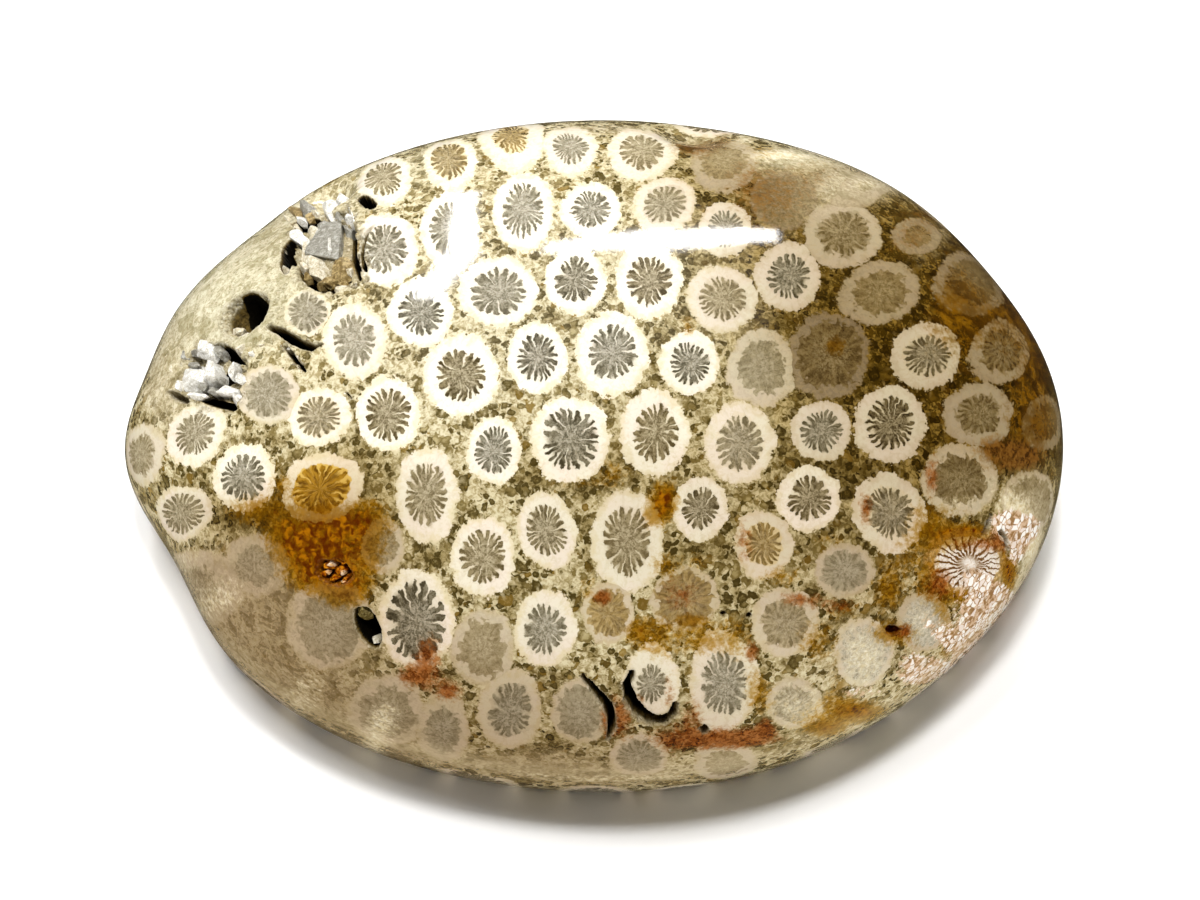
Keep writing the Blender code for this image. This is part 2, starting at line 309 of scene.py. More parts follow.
# Loose-looking blocks in the vugs: x, y, wide, high, turn, top below the polish (mm), thickness (mm), kind
BLOCKS = (
    (295, 210, 15, 11, -24, -0.10, 1.4, "tan"), (305, 206, 16, 12, 12, -0.20, 1.5, "grey"),
    (288, 218, 22, 12, -34, -0.06, 1.4, "cream"), (309, 214, 12, 8, 30, 0.02, 1.2, "tan"),
    (299, 216, 11, 8, -10, 0.00, 1.2, "white"), (318, 279, 13, 9, 14, 0.42, 1.3, "tan"),
    (304, 270, 11, 12, -30, 0.36, 1.3, "tan"), (341, 279, 13, 9, -24, 0.42, 1.3, "tan"),
    (347, 266, 9, 15, 8, 0.26, 1.3, "cream"), (301, 262, 9, 12, 0, 0.16, 1.2, "cream"),
    (322, 222, 16, 10, 10, 0.04, 1.3, "grey"), (336, 214, 12, 14, 0, 0.02, 1.3, "grey"),
    (349, 216, 12, 12, 30, -0.04, 1.3, "white"), (283, 266, 10, 12, 10, 0.04, 1.1, "cream"),
    (279, 242, 9, 14, 0, 0.02, 1.1, "cream"), (262, 342, 14, 9, 20, 0.02, 1.1, "cream"),
    (249, 352, 12, 10, -20, 0.02, 1.1, "white"),
    (277, 339, 10, 7, 34, 0.04, 1.1, "tan"), (293, 368, 12, 8, 46, 0.02, 1.1, "cream"),
    (216, 378, 8, 10, 20, 0.20, 1.2, "grey"), (198, 384, 10, 9, -30, 0.10, 1.2, "grey"),
    (176, 384, 9, 12, 10, 0.06, 1.2, "white"), (190, 350, 10, 9, 40, 0.06, 1.2, "grey"),
    (314, 211, 12, 10, 20, -0.10, 1.3, "cream"), (330, 206, 22, 20, 0, -0.15, 1.5, "white"),
    (342, 199, 20, 22, 10, -0.15, 1.5, "white"), (356, 212, 26, 24, -20, -0.10, 1.7, "white"),
    (369, 218, 22, 18, -14, 0.00, 1.5, "white"), (382, 206, 14, 12, 0, 0.05, 1.2, "cream"),
    (325, 239, 46, 50, 0, 0.02, 2.6, "grey"), (338, 264, 30, 24, 24, 0.18, 2.0, "tan"),
    (312, 264, 30, 26, -20, 0.15, 2.0, "cream"), (325, 273, 28, 16, 0, 0.38, 1.8, "tan"),
    # the thin white block at 329, 242 is a painted glint on the grey crystal there
    (329, 242, 6, 22, -6, -0.10, 1.2, "white"), (303, 250, 15, 30, 8, 0.18, 1.8, "cream"),
    (296, 232, 18, 16, 20, 0.12, 1.5, "white"), (310, 228, 18, 14, 0, 0.15, 1.5, "cream"),
    (345, 222, 12, 20, 0, 0.25, 1.5, "grey"), (357, 246, 6, 26, 3, 0.40, 1.6, "tan"),
    (341, 288, 18, 14, 20, 0.05, 1.2, "cream"), (357, 285, 16, 14, 30, 0.05, 1.1, "cream"),
    (294, 285, 18, 13, 0, 0.08, 1.2, "cream"), (280, 284, 14, 12, 30, 0.06, 1.1, "white"),
    (200, 346, 26, 20, -14, 0.05, 1.6, "white"), (187, 375, 26, 36, 8, 0.02, 1.9, "white"),
    (206, 372, 17, 30, 0, 0.12, 1.8, "white"), (221, 389, 26, 14, 6, 0.15, 1.5, "white"),
    (230, 366, 11, 24, -10, 0.10, 1.6, "white"), (234, 400, 12, 18, 0, 0.10, 1.4, "white"),
    (181, 351, 15, 14, 0, 0.12, 1.3, "grey"), (213, 347, 12, 14, 20, 0.30, 1.4, "grey"),
    (172, 366, 12, 18, 0, 0.10, 1.3, "cream"), (208, 390, 14, 11, 0, 0.32, 1.3, "grey"),
    (193, 394, 22, 12, -8, 0.12, 1.3, "white"), (238, 346, 16, 12, 30, 0.05, 1.3, "cream"),
    (240, 378, 14, 14, 0, 0.05, 1.3, "white"), (188, 361, 12, 9, 0, 0.22, 1.2, "grey"),
    (301, 355, 22, 13, -38, 0.00, 1.4, "cream"), (289, 346, 11, 9, 20, 0.10, 1.2, "white"),
    (313, 359, 14, 9, -40, 0.02, 1.1, "cream"), (308, 330, 16, 9, 6, 0.06, 1.1, "grey"),
    (297, 297, 20, 12, 10, 0.02, 1.2, "white"), (314, 298, 18, 12, -10, 0.02, 1.2, "grey"),
    (231, 326, 14, 8, 40, 0.55, 1.3, "cream"), (239, 332, 16, 7, 20, 0.50, 1.3, "cream"),
    (360, 611, 15, 31, 18, 0.00, 1.8, "olive"), (374, 643, 12, 9, 30, 0.12, 1.3, "cream"),
    # spark blocks: near-white crystals that paint the glints in the amber pit
    (329, 564, 11, 7, -10, 0.02, 1.2, "spark"), (340, 573, 9, 8, 30, 0.05, 1.2, "spark"),
    (343, 583, 10, 6, 0, 0.05, 1.2, "spark"), (326, 573, 6, 6, 0, 0.08, 1.1, "spark"),
    (327, 567, 13, 11, 20, 0.15, 1.2, "amber"), (338, 572, 12, 12, -30, 0.25, 1.2, "amber"),
    (331, 580, 12, 9, 10, 0.20, 1.2, "amber"), (345, 580, 10, 9, 0, 0.20, 1.2, "amber"),
    (321, 575, 10, 8, 40, 0.20, 1.1, "amber"), (340, 562, 9, 8, 0, 0.12, 1.1, "amber"),
)

# Soft patches: x, y, reach across, reach down (px), strength
AMBER = (
    (322, 552, 44, 34, 1.0), (292, 540, 26, 22, .75), (345, 588, 22, 20, 1.0), (320, 574, 26, 18, .9),
    (366, 548, 16, 34, .55),
    (334, 524, 44, 18, .9), (256, 510, 34, 16, .65), (282, 484, 14, 14, .5), (368, 520, 20, 20, .5), (664, 500, 14, 20, 1.0),
    (652, 516, 12, 12, .7), (614, 472, 18, 14, .45), (580, 483, 34, 8, .35),
    (858, 712, 26, 10, .95), (826, 728, 20, 9, .8), (640, 632, 16, 16, .75), (838, 690, 12, 30, .3),
    (692, 621, 18, 8, .7), (930, 525, 24, 26, .6), (955, 541, 30, 11, .6),
    (976, 597, 34, 9, 1.0), (1010, 572, 9, 24, .9), (893, 634, 22, 11, .8), (966, 532, 24, 8, 1.0),
    (949, 640, 9, 24, .75), (944, 610, 8, 10, .4), (930, 580, 14, 26, .6),
    (700, 640, 26, 16, .6), (735, 636, 18, 26, .5), (780, 576, 26, 12, .5), (816, 642, 22, 22, .5),
    (758, 692, 14, 24, .55), (888, 590, 16, 26, .65), (700, 560, 22, 12, .4), (664, 566, 16, 16, .5),
    (830, 540, 22, 10, .4), (660, 640, 16, 24, .5), (845, 610, 24, 12, .4), (905, 560, 16, 16, .4),
    (756, 500, 14, 14, .25), (860, 470, 20, 10, .2), (430, 640, 14, 14, .3), (590, 590, 16, 24, .4),
    (918, 655, 20, 18, .3), (975, 512, 26, 12, .2), (958, 300, 28, 40, .6),
    (1005, 318, 44, 34, .45), (1034, 376, 24, 50, .5), (905, 212, 50, 24, .3), (836, 346, 11, 11, .75),
    (1035, 430, 20, 26, .6), (760, 150, 30, 16, .3), (700, 210, 24, 16, .25),
    (688, 325, 10, 12, .5), (795, 325, 18, 8, .3), (645, 738, 80, 26, .22), (830, 722, 60, 22, .25),
)
BROWN = (
    (1018, 456, 31, 16, .95), (994, 448, 18, 12, .6), (692, 142, 22, 12, .8), (720, 138, 24, 10, .5),
    (752, 190, 26, 22, .22), (746, 168, 20, 14, .22),
    (772, 196, 46, 36, .45), (820, 170, 30, 20, .3), (930, 212, 30, 18, .4),
)
RUST = (
    (416, 676, 18, 12, .8), (448, 690, 16, 12, .7), (426, 656, 10, 18, .6), (680, 594, 26, 20, .45), (603, 597, 9, 9, .9),
    (618, 716, 14, 22, .75), (692, 716, 12, 20, .55), (700, 738, 44, 11, .45),
    (745, 737, 28, 9, .8), (765, 729, 9, 10, .9), (800, 599, 24, 9, .55),
    (838, 606, 22, 8, .5), (985, 545, 34, 8, .6), (1000, 530, 10, 14, .7),
    (905, 631, 9, 7, .8), (932, 590, 20, 16, .3), (669, 690, 6, 26, .45),
    (752, 652, 8, 12, .7), (744, 541, 10, 24, .5), (670, 745, 16, 20, .3), (720, 742, 60, 8, .55),
    (932, 476, 8, 22, .6), (866, 508, 7, 18, .7), (1008, 532, 8, 14, .9), (941, 583, 12, 16, .6),
    (912, 658, 14, 12, .35), (430, 655, 14, 22, .4), (608, 722, 6, 16, .7), (640, 704, 6, 14, .5),
)
CHALK = (
    (1004, 524, 14, 12, .85), (1030, 528, 12, 14, .8), (1018, 546, 10, 18, .9), (1012, 604, 10, 12, .8),
    (1000, 614, 14, 10, .9), (984, 622, 16, 14, .95), (972, 640, 14, 12, .8), (966, 654, 14, 8, .8),
    (944, 668, 18, 8, .8), (920, 678, 20, 8, .8), (912, 662, 10, 8, .5), (860, 692, 26, 8, .45),
    (1012, 520, 8, 10, .5),
)
# clouded stone that hides the pattern; the thin strips along the top, right and lower limbs are a painted reflection
# line
CLOUDED_AND_LIMB_SHEEN = (
    (228, 292, 48, 40, .9), (285, 212, 60, 26, .9), (250, 232, 44, 30, .9), (210, 262, 50, 40, .8), (170, 320, 30, 40, .7), (350, 165, 60, 18, .55), (155, 372, 18, 40, .6), (430, 138, 60, 12, .5),     (250, 606, 54, 48, .75), (226, 636, 50, 40, .85), (290, 680, 56, 36, .85),
    (340, 706, 60, 28, .75), (392, 748, 60, 20, .75), (520, 764, 90, 16, .65),
    (620, 776, 120, 14, .6), (482, 650, 30, 28, .4), (1034, 500, 26, 34, .7),
    (856, 172, 56, 18, .9), (222, 282, 60, 34, .8), (196, 322, 40, 24, .6),
    (160, 396, 22, 36, .6), (800, 700, 44, 26, .4), (838, 662, 26, 20, .35),
    (900, 660, 40, 30, .3), (1036, 560, 16, 60, .6), (800, 156, 60, 12, .9),
    (868, 184, 36, 14, .8), (950, 225, 30, 14, .4), (700, 134, 40, 10, .5), (600, 128, 80, 6, .6),
    (215, 330, 40, 30, .6), (225, 585, 40, 40, .6),
)
# paler stone and painted sheen: these patches lighten the haze, grains and ground over the upper left and along the top
# and right limbs
PALE_AND_SHEEN = (
    (470, 320, 230, 160, 1.0), (430, 165, 190, 60, .8), (310, 400, 130, 90, .55),
    (620, 250, 200, 110, .6), (215, 280, 110, 100, .9), (800, 154, 50, 10, .8), (868, 182, 36, 12, .5),
    (752, 380, 70, 70, .8), (1036, 556, 20, 60, .7),
)
WARM = (
    (300, 680, 130, 90, .9), (420, 745, 150, 50, .9), (560, 770, 150, 40, .9),
    (230, 596, 84, 70, .95), (700, 765, 120, 30, .15), (480, 640, 60, 60, .15),
    (880, 596, 110, 70, .62), (320, 556, 84, 60, .8), (600, 730, 120, 50, .10),
    (720, 600, 130, 80, .10), (380, 600, 60, 60, .12), (800, 690, 110, 60, .05),
    (760, 490, 160, 60, .28), (540, 600, 100, 70, .0),
)
# cream spots, and thin strips along the top, right and lower limbs that paint a reflection line and a glow along the
# lower edge
CREAM_AND_EDGE_SHEEN = (
    (780, 155, 34, 6, .75), (826, 163, 28, 6, .4), (870, 182, 32, 8, .40), (742, 139, 24, 5, .5),
    (1034, 552, 9, 50, .8), (1012, 585, 12, 16, .6), (1018, 506, 16, 12, .3), (865, 655, 24, 30, .5),
    (924, 622, 20, 24, .35), (180, 560, 18, 44, .35), (196, 610, 12, 30, .4), (610, 779, 140, 4, .4),
    (370, 753, 60, 7, .5), (290, 715, 40, 14, .35), (956, 502, 26, 9, .35), (835, 718, 70, 26, .55), (930, 350, 10, 8, .0),
)
# olive-brown stone, and painted shade: the colour is darkened under these patches, most on the right side
OLIVE_AND_SHADE = (
    (320, 506, 80, 36, .45), (236, 512, 50, 24, .40), (350, 470, 40, 40, .3),     (852, 330, 104, 92, .85), (878, 466, 96, 70, .38), (690, 545, 150, 50, .20),
    (985, 350, 85, 120, 1.0), (540, 600, 120, 50, .0), (600, 465, 100, 30, .35),
    (905, 255, 120, 80, .72), (1005, 280, 70, 80, .9), (800, 215, 70, 50, .7),
    (705, 185, 60, 45, .4), (1035, 412, 50, 74, .9), (760, 430, 70, 40, .04),
    (650, 400, 50, 60, .15), (930, 420, 90, 80, .38),
)

# =============================================================================
# The mesh: rings of points, closer where the stone is broken.
# =============================================================================
STEP = 0.30


def ring_plan():
    dips = [0.0]
    fine = np.linspace(0.0, 120.0, 4801)
    arc = dome_points(40.0, fine)
    along = np.concatenate([[0.0], np.cumsum(np.linalg.norm(np.diff(arc, axis=0), axis=1))])
    foot = fine[np.argmax(arc[:, 2] < EDGE_EASE)]
    length = np.interp(foot, fine, along)
    girdle = np.interp(97.0, fine, along)
    top = int(round(girdle / (STEP * 0.87)))
    side = int(round((length - girdle) / 0.36))
    marks = list(np.linspace(0, girdle, top + 1)) + list(np.linspace(girdle, length, side + 1)[1:])
    return [float(np.interp(m, along, fine)) for m in marks], top


DIPS, TOP_RINGS = ring_plan()
BASE_DIP = DIPS[-1]


def ring_points(kind, value, count, stagger):
    angle = 360.0 * (np.arange(count) + (0.5 if stagger else 0.0)) / count
    if kind == "dip":
        return dome_points(angle, value)
    last = dome_points(angle, BASE_DIP)
    flat = np.hypot(last[:, 0], last[:, 1])
    inward, height = value
    shrink = np.maximum(1.0 - inward / flat, 0.0) if inward < 3.0 else None
    if shrink is None:
        shrink = (1.0 - 1.2 / flat) * (1.0 - (inward - 3.0))
    return np.stack([last[:, 0] * shrink, last[:, 1] * shrink,
                     np.full(count, height)], 1)


def build_rings():
    specs = [("dip", d) for d in DIPS[1:]]
    specs += [("foot", (EDGE_EASE * 0.12, EDGE_EASE * 0.55)), ("foot", (EDGE_EASE * 0.34, EDGE_EASE * 0.22)),
              ("foot", (EDGE_EASE * 0.62, EDGE_EASE * 0.05)), ("foot", (EDGE_EASE, 0.0)), ("foot", (1.2, 0.0))]
    base_rings = 44
    specs += [("foot", (3.0 + k / base_rings, 0.0)) for k in range(1, base_rings)]
    points, rings, zone = [dome_points(0.0, 0.0)[None]], [np.array([0])], []
    total = 1
    for n, (kind, value) in enumerate(specs):
        rough = ring_points(kind, value, 180, False)
        around = np.linalg.norm(rough - np.roll(rough, 1, 0), axis=1).sum()
        step = STEP if (kind == "dip" and value < 98.0) else 0.40
        if kind == "foot" and value[0] > 1.0:
            step = 0.5
        count = max(6, int(round(around / step)))
        if rings and n and abs(count - len(rings[-1])) <= 2:
            count = len(rings[-1])
        ring = ring_points(kind, value, count, n % 2 == 1)
        points.append(ring)
        rings.append(np.arange(total, total + count))
        total += count
    faces = []
    face_zone = []
    for k in range(len(rings) - 1):
        a, b = rings[k], rings[k + 1]
        z = 0 if k < TOP_RINGS else (1 if k < len(DIPS) + 2 else 2)
        n, m = len(a), len(b)
        if n == 1:
            for j in range(m):
                faces.append((a[0], b[j], b[(j + 1) % m]))
                face_zone.append(z)
            continue
        sa = 0.5 / n if (k - 1) % 2 == 1 else 0.0
        sb = 0.5 / m if k % 2 == 1 else 0.0
        i = j = 0
        while i < n or j < m:
            ta = (i + 1) / n + sa
            tb = (j + 1) / m + sb
            if j >= m or (i < n and ta < tb):
                faces.append((a[i % n], b[j % m], a[(i + 1) % n]))
                i += 1
            else:
                faces.append((a[i % n], b[j % m], b[(j + 1) % m]))
                j += 1
            face_zone.append(z)
    centre = total
    points.append(np.zeros((1, 3)))
    last = rings[-1]
    for j in range(len(last)):
        faces.append((last[j], centre, last[(j + 1) % len(last)]))
        face_zone.append(2)
    return np.concatenate(points), np.array(faces), np.array(face_zone)


def vug_parts(spec):
    x, y, long, wide, turn, depth, ragged = spec
    p, n = on_stone(x, y)
    u, v = patch_axes(p, n, long, wide, turn)
    return p, n, u, v, depth, ragged


VUG_PARTS = [vug_parts(s) for s in VUGS]
KNOB_PARTS = [vug_parts(s) for s in KNOBS]
SLOT_PARTS = []
for path, width, depth in SLOTS:
    SLOT_PARTS.append((np.array([on_stone(*q)[0] for q in path]), width / PX_PER_MM, depth))


def slot_gap(P, path, width):
    """Distance from a slot's middle line as a share of its half width there."""
    best = np.full(len(P), 9.9)
    total = len(path) - 1
    for k in range(total):
        a, d = path[k], path[k + 1] - path[k]
        t = np.clip(((P - a) @ d) / (d @ d), 0.0, 1.0)
        gap = np.linalg.norm(P - a - t[:, None] * d, axis=1)
        swell = 0.30 + 0.70 * np.sin(np.pi * np.clip((k + t) / total, 0.02, 0.98)) ** 0.7
        best = np.minimum(best, gap / (0.5 * width * swell))
    return best


def recess(P):
    """How far each point is pushed in (mm), how much it counts as broken ground, and how much painted shade darkens the
    hole there.
    """
    jag = soft_noise(P, 1.3, 3, 3)
    fine = soft_noise(P, 3.1, 11, 2)
    deep = np.zeros(len(P))
    broken = np.zeros(len(P))
    dark = np.zeros(len(P))
    for p, n, u, v, depth, ragged in VUG_PARTS:
        d = P - p
        q = np.hypot(d @ u, d @ v) * (1.0 + ragged * 2.2 * jag + ragged * 0.8 * fine)
        near = np.abs(d @ n) < 4.0
        edge = 0.34 if depth < 2.0 else 0.45
        shape = ease(1.0 - q, 0.0, edge) * (0.72 + 0.28 * np.sqrt(np.clip(1.0 - q * q, 0.0, 1.0)))
        deep = np.maximum(deep, np.where(near, depth * shape, 0.0))
        broken = np.maximum(broken, np.where(near, ease(1.12 - q, 0.0, 0.22), 0.0))
        # painted shade in the holes: near black in deep vugs, weaker in shallower ones
        if depth >= 2.0:
            dark = np.maximum(dark, np.where(near, ease(shape, 0.00, 0.14), 0.0))
        elif depth > 1.5:
            dark = np.maximum(dark, np.where(near, 0.36 * ease(shape, 0.15, 0.7), 0.0))
        elif depth < 0.81:
            dark = np.maximum(dark, np.where(near, 0.5 * ease(shape, 0.1, 0.6), 0.0))
    for path, width, depth in SLOT_PARTS:
        q = slot_gap(P, path, width) * (1.0 + 0.35 * jag + 0.15 * fine)
        deep = np.maximum(deep, depth * ease(1.0 - q, 0.0, 0.75))
        # painted shade in deep slots
        if depth > 2.0:
            dark = np.maximum(dark, ease(1.0 - q, 0.05, 0.45))
        broken = np.maximum(broken, ease(1.25 - q, 0.0, 0.35))
    for p, n, u, v, height, ragged in KNOB_PARTS:
        d = P - p
        q = np.hypot(d @ u, d @ v) * (1.0 + ragged * 2.0 * jag)
        near = np.abs(d @ n) < 4.0
        lift = np.where(near, height * ease(1.0 - q, 0.0, 0.35), 0.0)
        deep = np.where(deep < 1.6, np.maximum(deep - lift, np.minimum(deep, 0.12)), deep)
    rubble = broken * ease(deep, 0.05, 0.5) * (0.30 * jag + 0.16 * fine)
    return deep - rubble, broken, dark


def dents(P):
    total = np.zeros(len(P))
    for x, y, z, amount, spread in DENTS:
        gap = np.linalg.norm(P - np.array([x, y, z]), axis=1)
        total += amount * np.exp(-0.5 * (gap / spread) ** 2)
    # broken ground on the far left rim
    near = np.exp(-0.5 * (np.linalg.norm(P - np.array([-18.9, 14.0, 16.8]), axis=1) / 2.6) ** 2)
    total += near * (0.30 * soft_noise(P, 0.9, 21, 3) + 0.05)
    return total


def build_base_mesh():
    points, faces, zone = build_rings()
    mesh = bpy.data.meshes.new("coral_head_polished")
    mesh.from_pydata((points * MM).tolist(), [], faces.tolist())
    mark = mesh.attributes.new("zone", "INT", "FACE")
    mark.data.foreach_set("value", zone.astype(np.int32))
    bm = bmesh.new()
    bm.from_mesh(mesh)
    bmesh.ops.recalc_face_normals(bm, faces=bm.faces)
    for level in range(2):
        co = np.array([f.calc_center_median()[:] for f in bm.faces]) / MM
        sel = np.zeros(len(co), bool)
        top = np.nonzero(co[:, 2] > 4.0)[0]
        deep, broken, _ = recess(co[top])
        if level == 0:
            hit = broken > 0.02
            for p, n, u, v, depth, ragged in VUG_PARTS:
                d = co[top] - p
                hit |= (np.hypot(d @ u, d @ v) < 1.35) & (np.abs(d @ n) < 4.0)
        else:
            hit = (broken > 0.02) & (deep > 0.02)
        sel[top[hit]] = True
        bm.faces.ensure_lookup_table()
        edges = {e for k in np.nonzero(sel)[0] for e in bm.faces[k].edges}
        bmesh.ops.subdivide_edges(bm, edges=list(edges), cuts=1, use_grid_fill=True)
        bmesh.ops.triangulate(bm, faces=[f for f in bm.faces if len(f.verts) > 3])
    bm.to_mesh(mesh)
    bm.free()
    return mesh


mesh = build_base_mesh()
count = len(mesh.vertices)
P0 = np.empty(count * 3)
mesh.vertices.foreach_get("co", P0)
P0 = P0.reshape(-1, 3) / MM
N0 = np.empty(count * 3)
mesh.vertex_normals.foreach_get("vector", N0)
N0 = N0.reshape(-1, 3)
tri = np.empty(len(mesh.polygons) * 3, np.int32)
mesh.loops.foreach_get("vertex_index", tri)
tri = tri.reshape(-1, 3)
zone = np.empty(len(mesh.polygons), np.int32)
mesh.attributes["zone"].data.foreach_get("value", zone)
print("stone mesh:", count, "points", len(tri), "triangles")

upper = P0[:, 2] > 3.0
# the third array is painted shade for the depths of holes
DEEP, BROKEN, HOLE_SHADE = np.zeros(count), np.zeros(count), np.zeros(count)
DEEP[upper], BROKEN[upper], HOLE_SHADE[upper] = recess(P0[upper])
push = DEEP.copy()
push[upper] += dents(P0[upper])
P = P0 - N0 * push[:, None]
mesh.vertices.foreach_set("co", (P * MM).ravel())
mesh.update()

# =============================================================================
# Corallites: the seen ones from the table, and tubes radiating through the rest.
# =============================================================================
rng = np.random.default_rng(41)
tubes = []  # centre, normal, u, v, calice, wall, dark, clear, fill
ROOT = np.array([1.0, 1.5, -9.0])
for x, y, wide, high, turn, calice, wall, dark, clear, fill in CORALLITES:
    p, n = on_stone(x, y)
    u, v = patch_axes(p, n, wide, high, turn)
    axis = unit(p - ROOT)
    axis = unit(axis + 1.2 * n)
    u = u - (u @ axis) / (n @ axis) * n
    v = v - (v @ axis) / (n @ axis) * n
    tubes.append((p, n, u, v, calice, wall, dark, clear, fill))


def spread_tubes():
    """Fills the surface that the picture doesn't show with more of the colony."""
    facing = N0 @ BACK
    hidden = np.nonzero((facing < 0.10) | (P0[:, 2] < 3.2))[0]
    order = hidden[rng.permutation(len(hidden))][:5200]
    cs = np.array([t[0] for t in tubes])
    us = np.array([t[2] for t in tubes])
    vs = np.array([t[3] for t in tubes])
    ns = np.array([t[1] for t in tubes])
    for k in order:
        p, n = P0[k], N0[k]
        if p[2] < 0.02:
            n = np.array([0.0, 0.0, -1.0])
        r = 2.25 + 0.75 * lattice(int(k), 5, 9, 2)
        axis = unit(p - ROOT)
        if p[2] >= 0.02:
            axis = unit(axis + 0.5 * n)
        e1 = unit(np.cross(axis, [0.13, 0.31, 0.94]))
        e2 = np.cross(axis, e1)
        u, v = e1 / r, e2 / r
        near = np.abs(((p - cs) * ns).sum(1)) < 3.5
        d = cs - p
        q1 = np.hypot((d * us).sum(1), (d * vs).sum(1))
        q2 = np.hypot(d @ u, d @ v)
        if (near & (np.minimum(q1, q2) < 2.12)).any():
            continue
        a, b, c, e = (lattice(int(k), s, 3, 7) for s in (1, 2, 3, 4))
        tubes.append((p, n, u, v, 0.62 + 0.08 * a, 0.62 + 0.3 * b, 0.45 + 0.4 * c,
                      0.55 + 0.45 * e, 0.55 * max(0.0, lattice(int(k), 8, 3, 7) - 0.6) * 2.5))
        cs, us, vs, ns = (np.concatenate([w, [x]]) for w, x in ((cs, p), (us, u), (vs, v), (ns, n)))


spread_tubes()
print("corallites:", len(tubes))
TC = np.array([t[0] for t in tubes])
TN = np.array([t[1] for t in tubes])
TU = np.array([t[2] for t in tubes])
TV = np.array([t[3] for t in tubes])
TONE = np.array([t[4:] for t in tubes])
SEED = np.array([lattice(k * 7 + 3, 11, 5, 1) for k in range(len(tubes))])

mid = P0[tri].mean(1)
nearest = np.empty((len(tri), 2), np.int64)
for start in range(0, len(tri), 20000):
    block = mid[start:start + 20000]
    uu = block @ TU.T - (TC * TU).sum(1)
    vv = block @ TV.T - (TC * TV).sum(1)
    off = np.abs(block @ TN.T - (TC * TN).sum(1))
    q = np.hypot(uu, vv) + 4.0 * np.maximum(off - 3.0, 0.0)
    part = np.argpartition(q, 1, axis=1)[:, :2]
    pick = np.take_along_axis(q, part, 1)
    flip = pick[:, 0] > pick[:, 1]
    part[flip] = part[flip][:, ::-1]
    nearest[start:start + 20000] = part

corner_points = P0[tri]  # faces x 3 x 3
for which, letter in ((0, "a"), (1, "b")):
    k = nearest[:, which]
    d = corner_points - TC[k][:, None, :]
    u = (d * TU[k][:, None, :]).sum(2)
    v = (d * TV[k][:, None, :]).sum(2)
    place = np.stack([u, v, np.broadcast_to(SEED[k][:, None], u.shape)], 2)
    tone1 = np.broadcast_to(TONE[k][:, None, :3], (len(tri), 3, 3))
    tone2 = np.concatenate([TONE[k][:, 3:5], np.zeros((len(tri), 1))], 1)
    tone2 = np.broadcast_to(tone2[:, None, :], (len(tri), 3, 3))
    for name, data in (("place_", place), ("tone_", tone1), ("more_", tone2)):
        made = mesh.attributes.new(name + letter, "FLOAT_VECTOR", "CORNER")
        made.data.foreach_set("vector", np.ascontiguousarray(data, np.float32).ravel())


def patches(spots):
    total = np.zeros(count)
    for x, y, across, down, strength in spots:
        p, n = on_stone(x, y)
        u, v = patch_axes(p, n, 2.0 * across, 2.0 * down, 0.0)
        d = P0 - p
        q2 = (d @ u) ** 2 + (d @ v) ** 2 + (np.maximum(np.abs(d @ n) - 2.0, 0.0) / 2.0) ** 2
        total = 1.0 - (1.0 - total) * (1.0 - strength * np.exp(-0.9 * q2))
    return total


hidden = ease(0.12 - N0 @ BACK, 0.0, 0.25)
drift = 0.5 + 0.5 * soft_noise(P0, 0.085, 31, 2)
drift2 = 0.5 + 0.5 * soft_noise(P0, 0.11, 57, 2)
drift3 = 0.5 + 0.5 * soft_noise(P0, 0.14, 77, 2)
amber = np.maximum(patches(AMBER), hidden * ease(drift, 0.62, 0.85) * 0.8)
rust = np.maximum(patches(RUST), hidden * ease(drift2, 0.68, 0.85) * 0.6)
chalk = np.maximum(patches(CHALK), hidden * ease(drift3, 0.70, 0.86) * 0.6)
brown = np.maximum(patches(BROWN), hidden * ease(1 - drift2, 0.66, 0.85) * 0.6)
# the clouded patches, with a painted reflection line along the limbs
clouded_and_limb_sheen = np.maximum(patches(CLOUDED_AND_LIMB_SHEEN), hidden * ease(1 - drift, 0.55, 0.8) * 0.7)
# the pale patches: paler stone and painted sheen over the upper left and along the limbs
pale_and_sheen = patches(PALE_AND_SHEEN)
# the olive patches: olive-brown stone and painted shade
olive = np.maximum(patches(OLIVE_AND_SHADE), hidden * ease(drift3, 0.3, 0.6) * 0.5)
warm = patches(WARM)
# the cream patches: cream spots and painted reflection lines along the limbs and lower edge
cream = patches(CREAM_AND_EDGE_SHEEN)
under = ease(-N0[:, 2], -0.10, 0.30)
# painted glow: a pale band round the girdle on faces that turn sideways and down
girdle_glow = np.exp(-0.5 * ((P0[:, 2] - 6.0) / 1.3) ** 2) * ease(N0[:, 2], -0.3, 0.1)
for name, data in (("stain", (amber, rust, brown)), ("cast", (pale_and_sheen, olive, clouded_and_limb_sheen)),
                   ("state", (chalk, BROKEN, HOLE_SHADE)),
                   ("rimmed", (girdle_glow, under, warm)), ("cream_and_sheen", (cream, np.zeros(count), np.zeros(count)))):
    made = mesh.attributes.new(name, "FLOAT_VECTOR", "POINT")
    made.data.foreach_set("vector", np.stack(data, 1).astype(np.float32).ravel())

# ---- the map that holds the baked finish -------------------------------------
angle0 = np.degrees(np.arctan2(P0[:, 1] / HALF_DEPTH, P0[:, 0] / HALF_LENGTH))
flat0 = np.hypot(P0[:, 0] / HALF_LENGTH, P0[:, 1] / HALF_DEPTH)


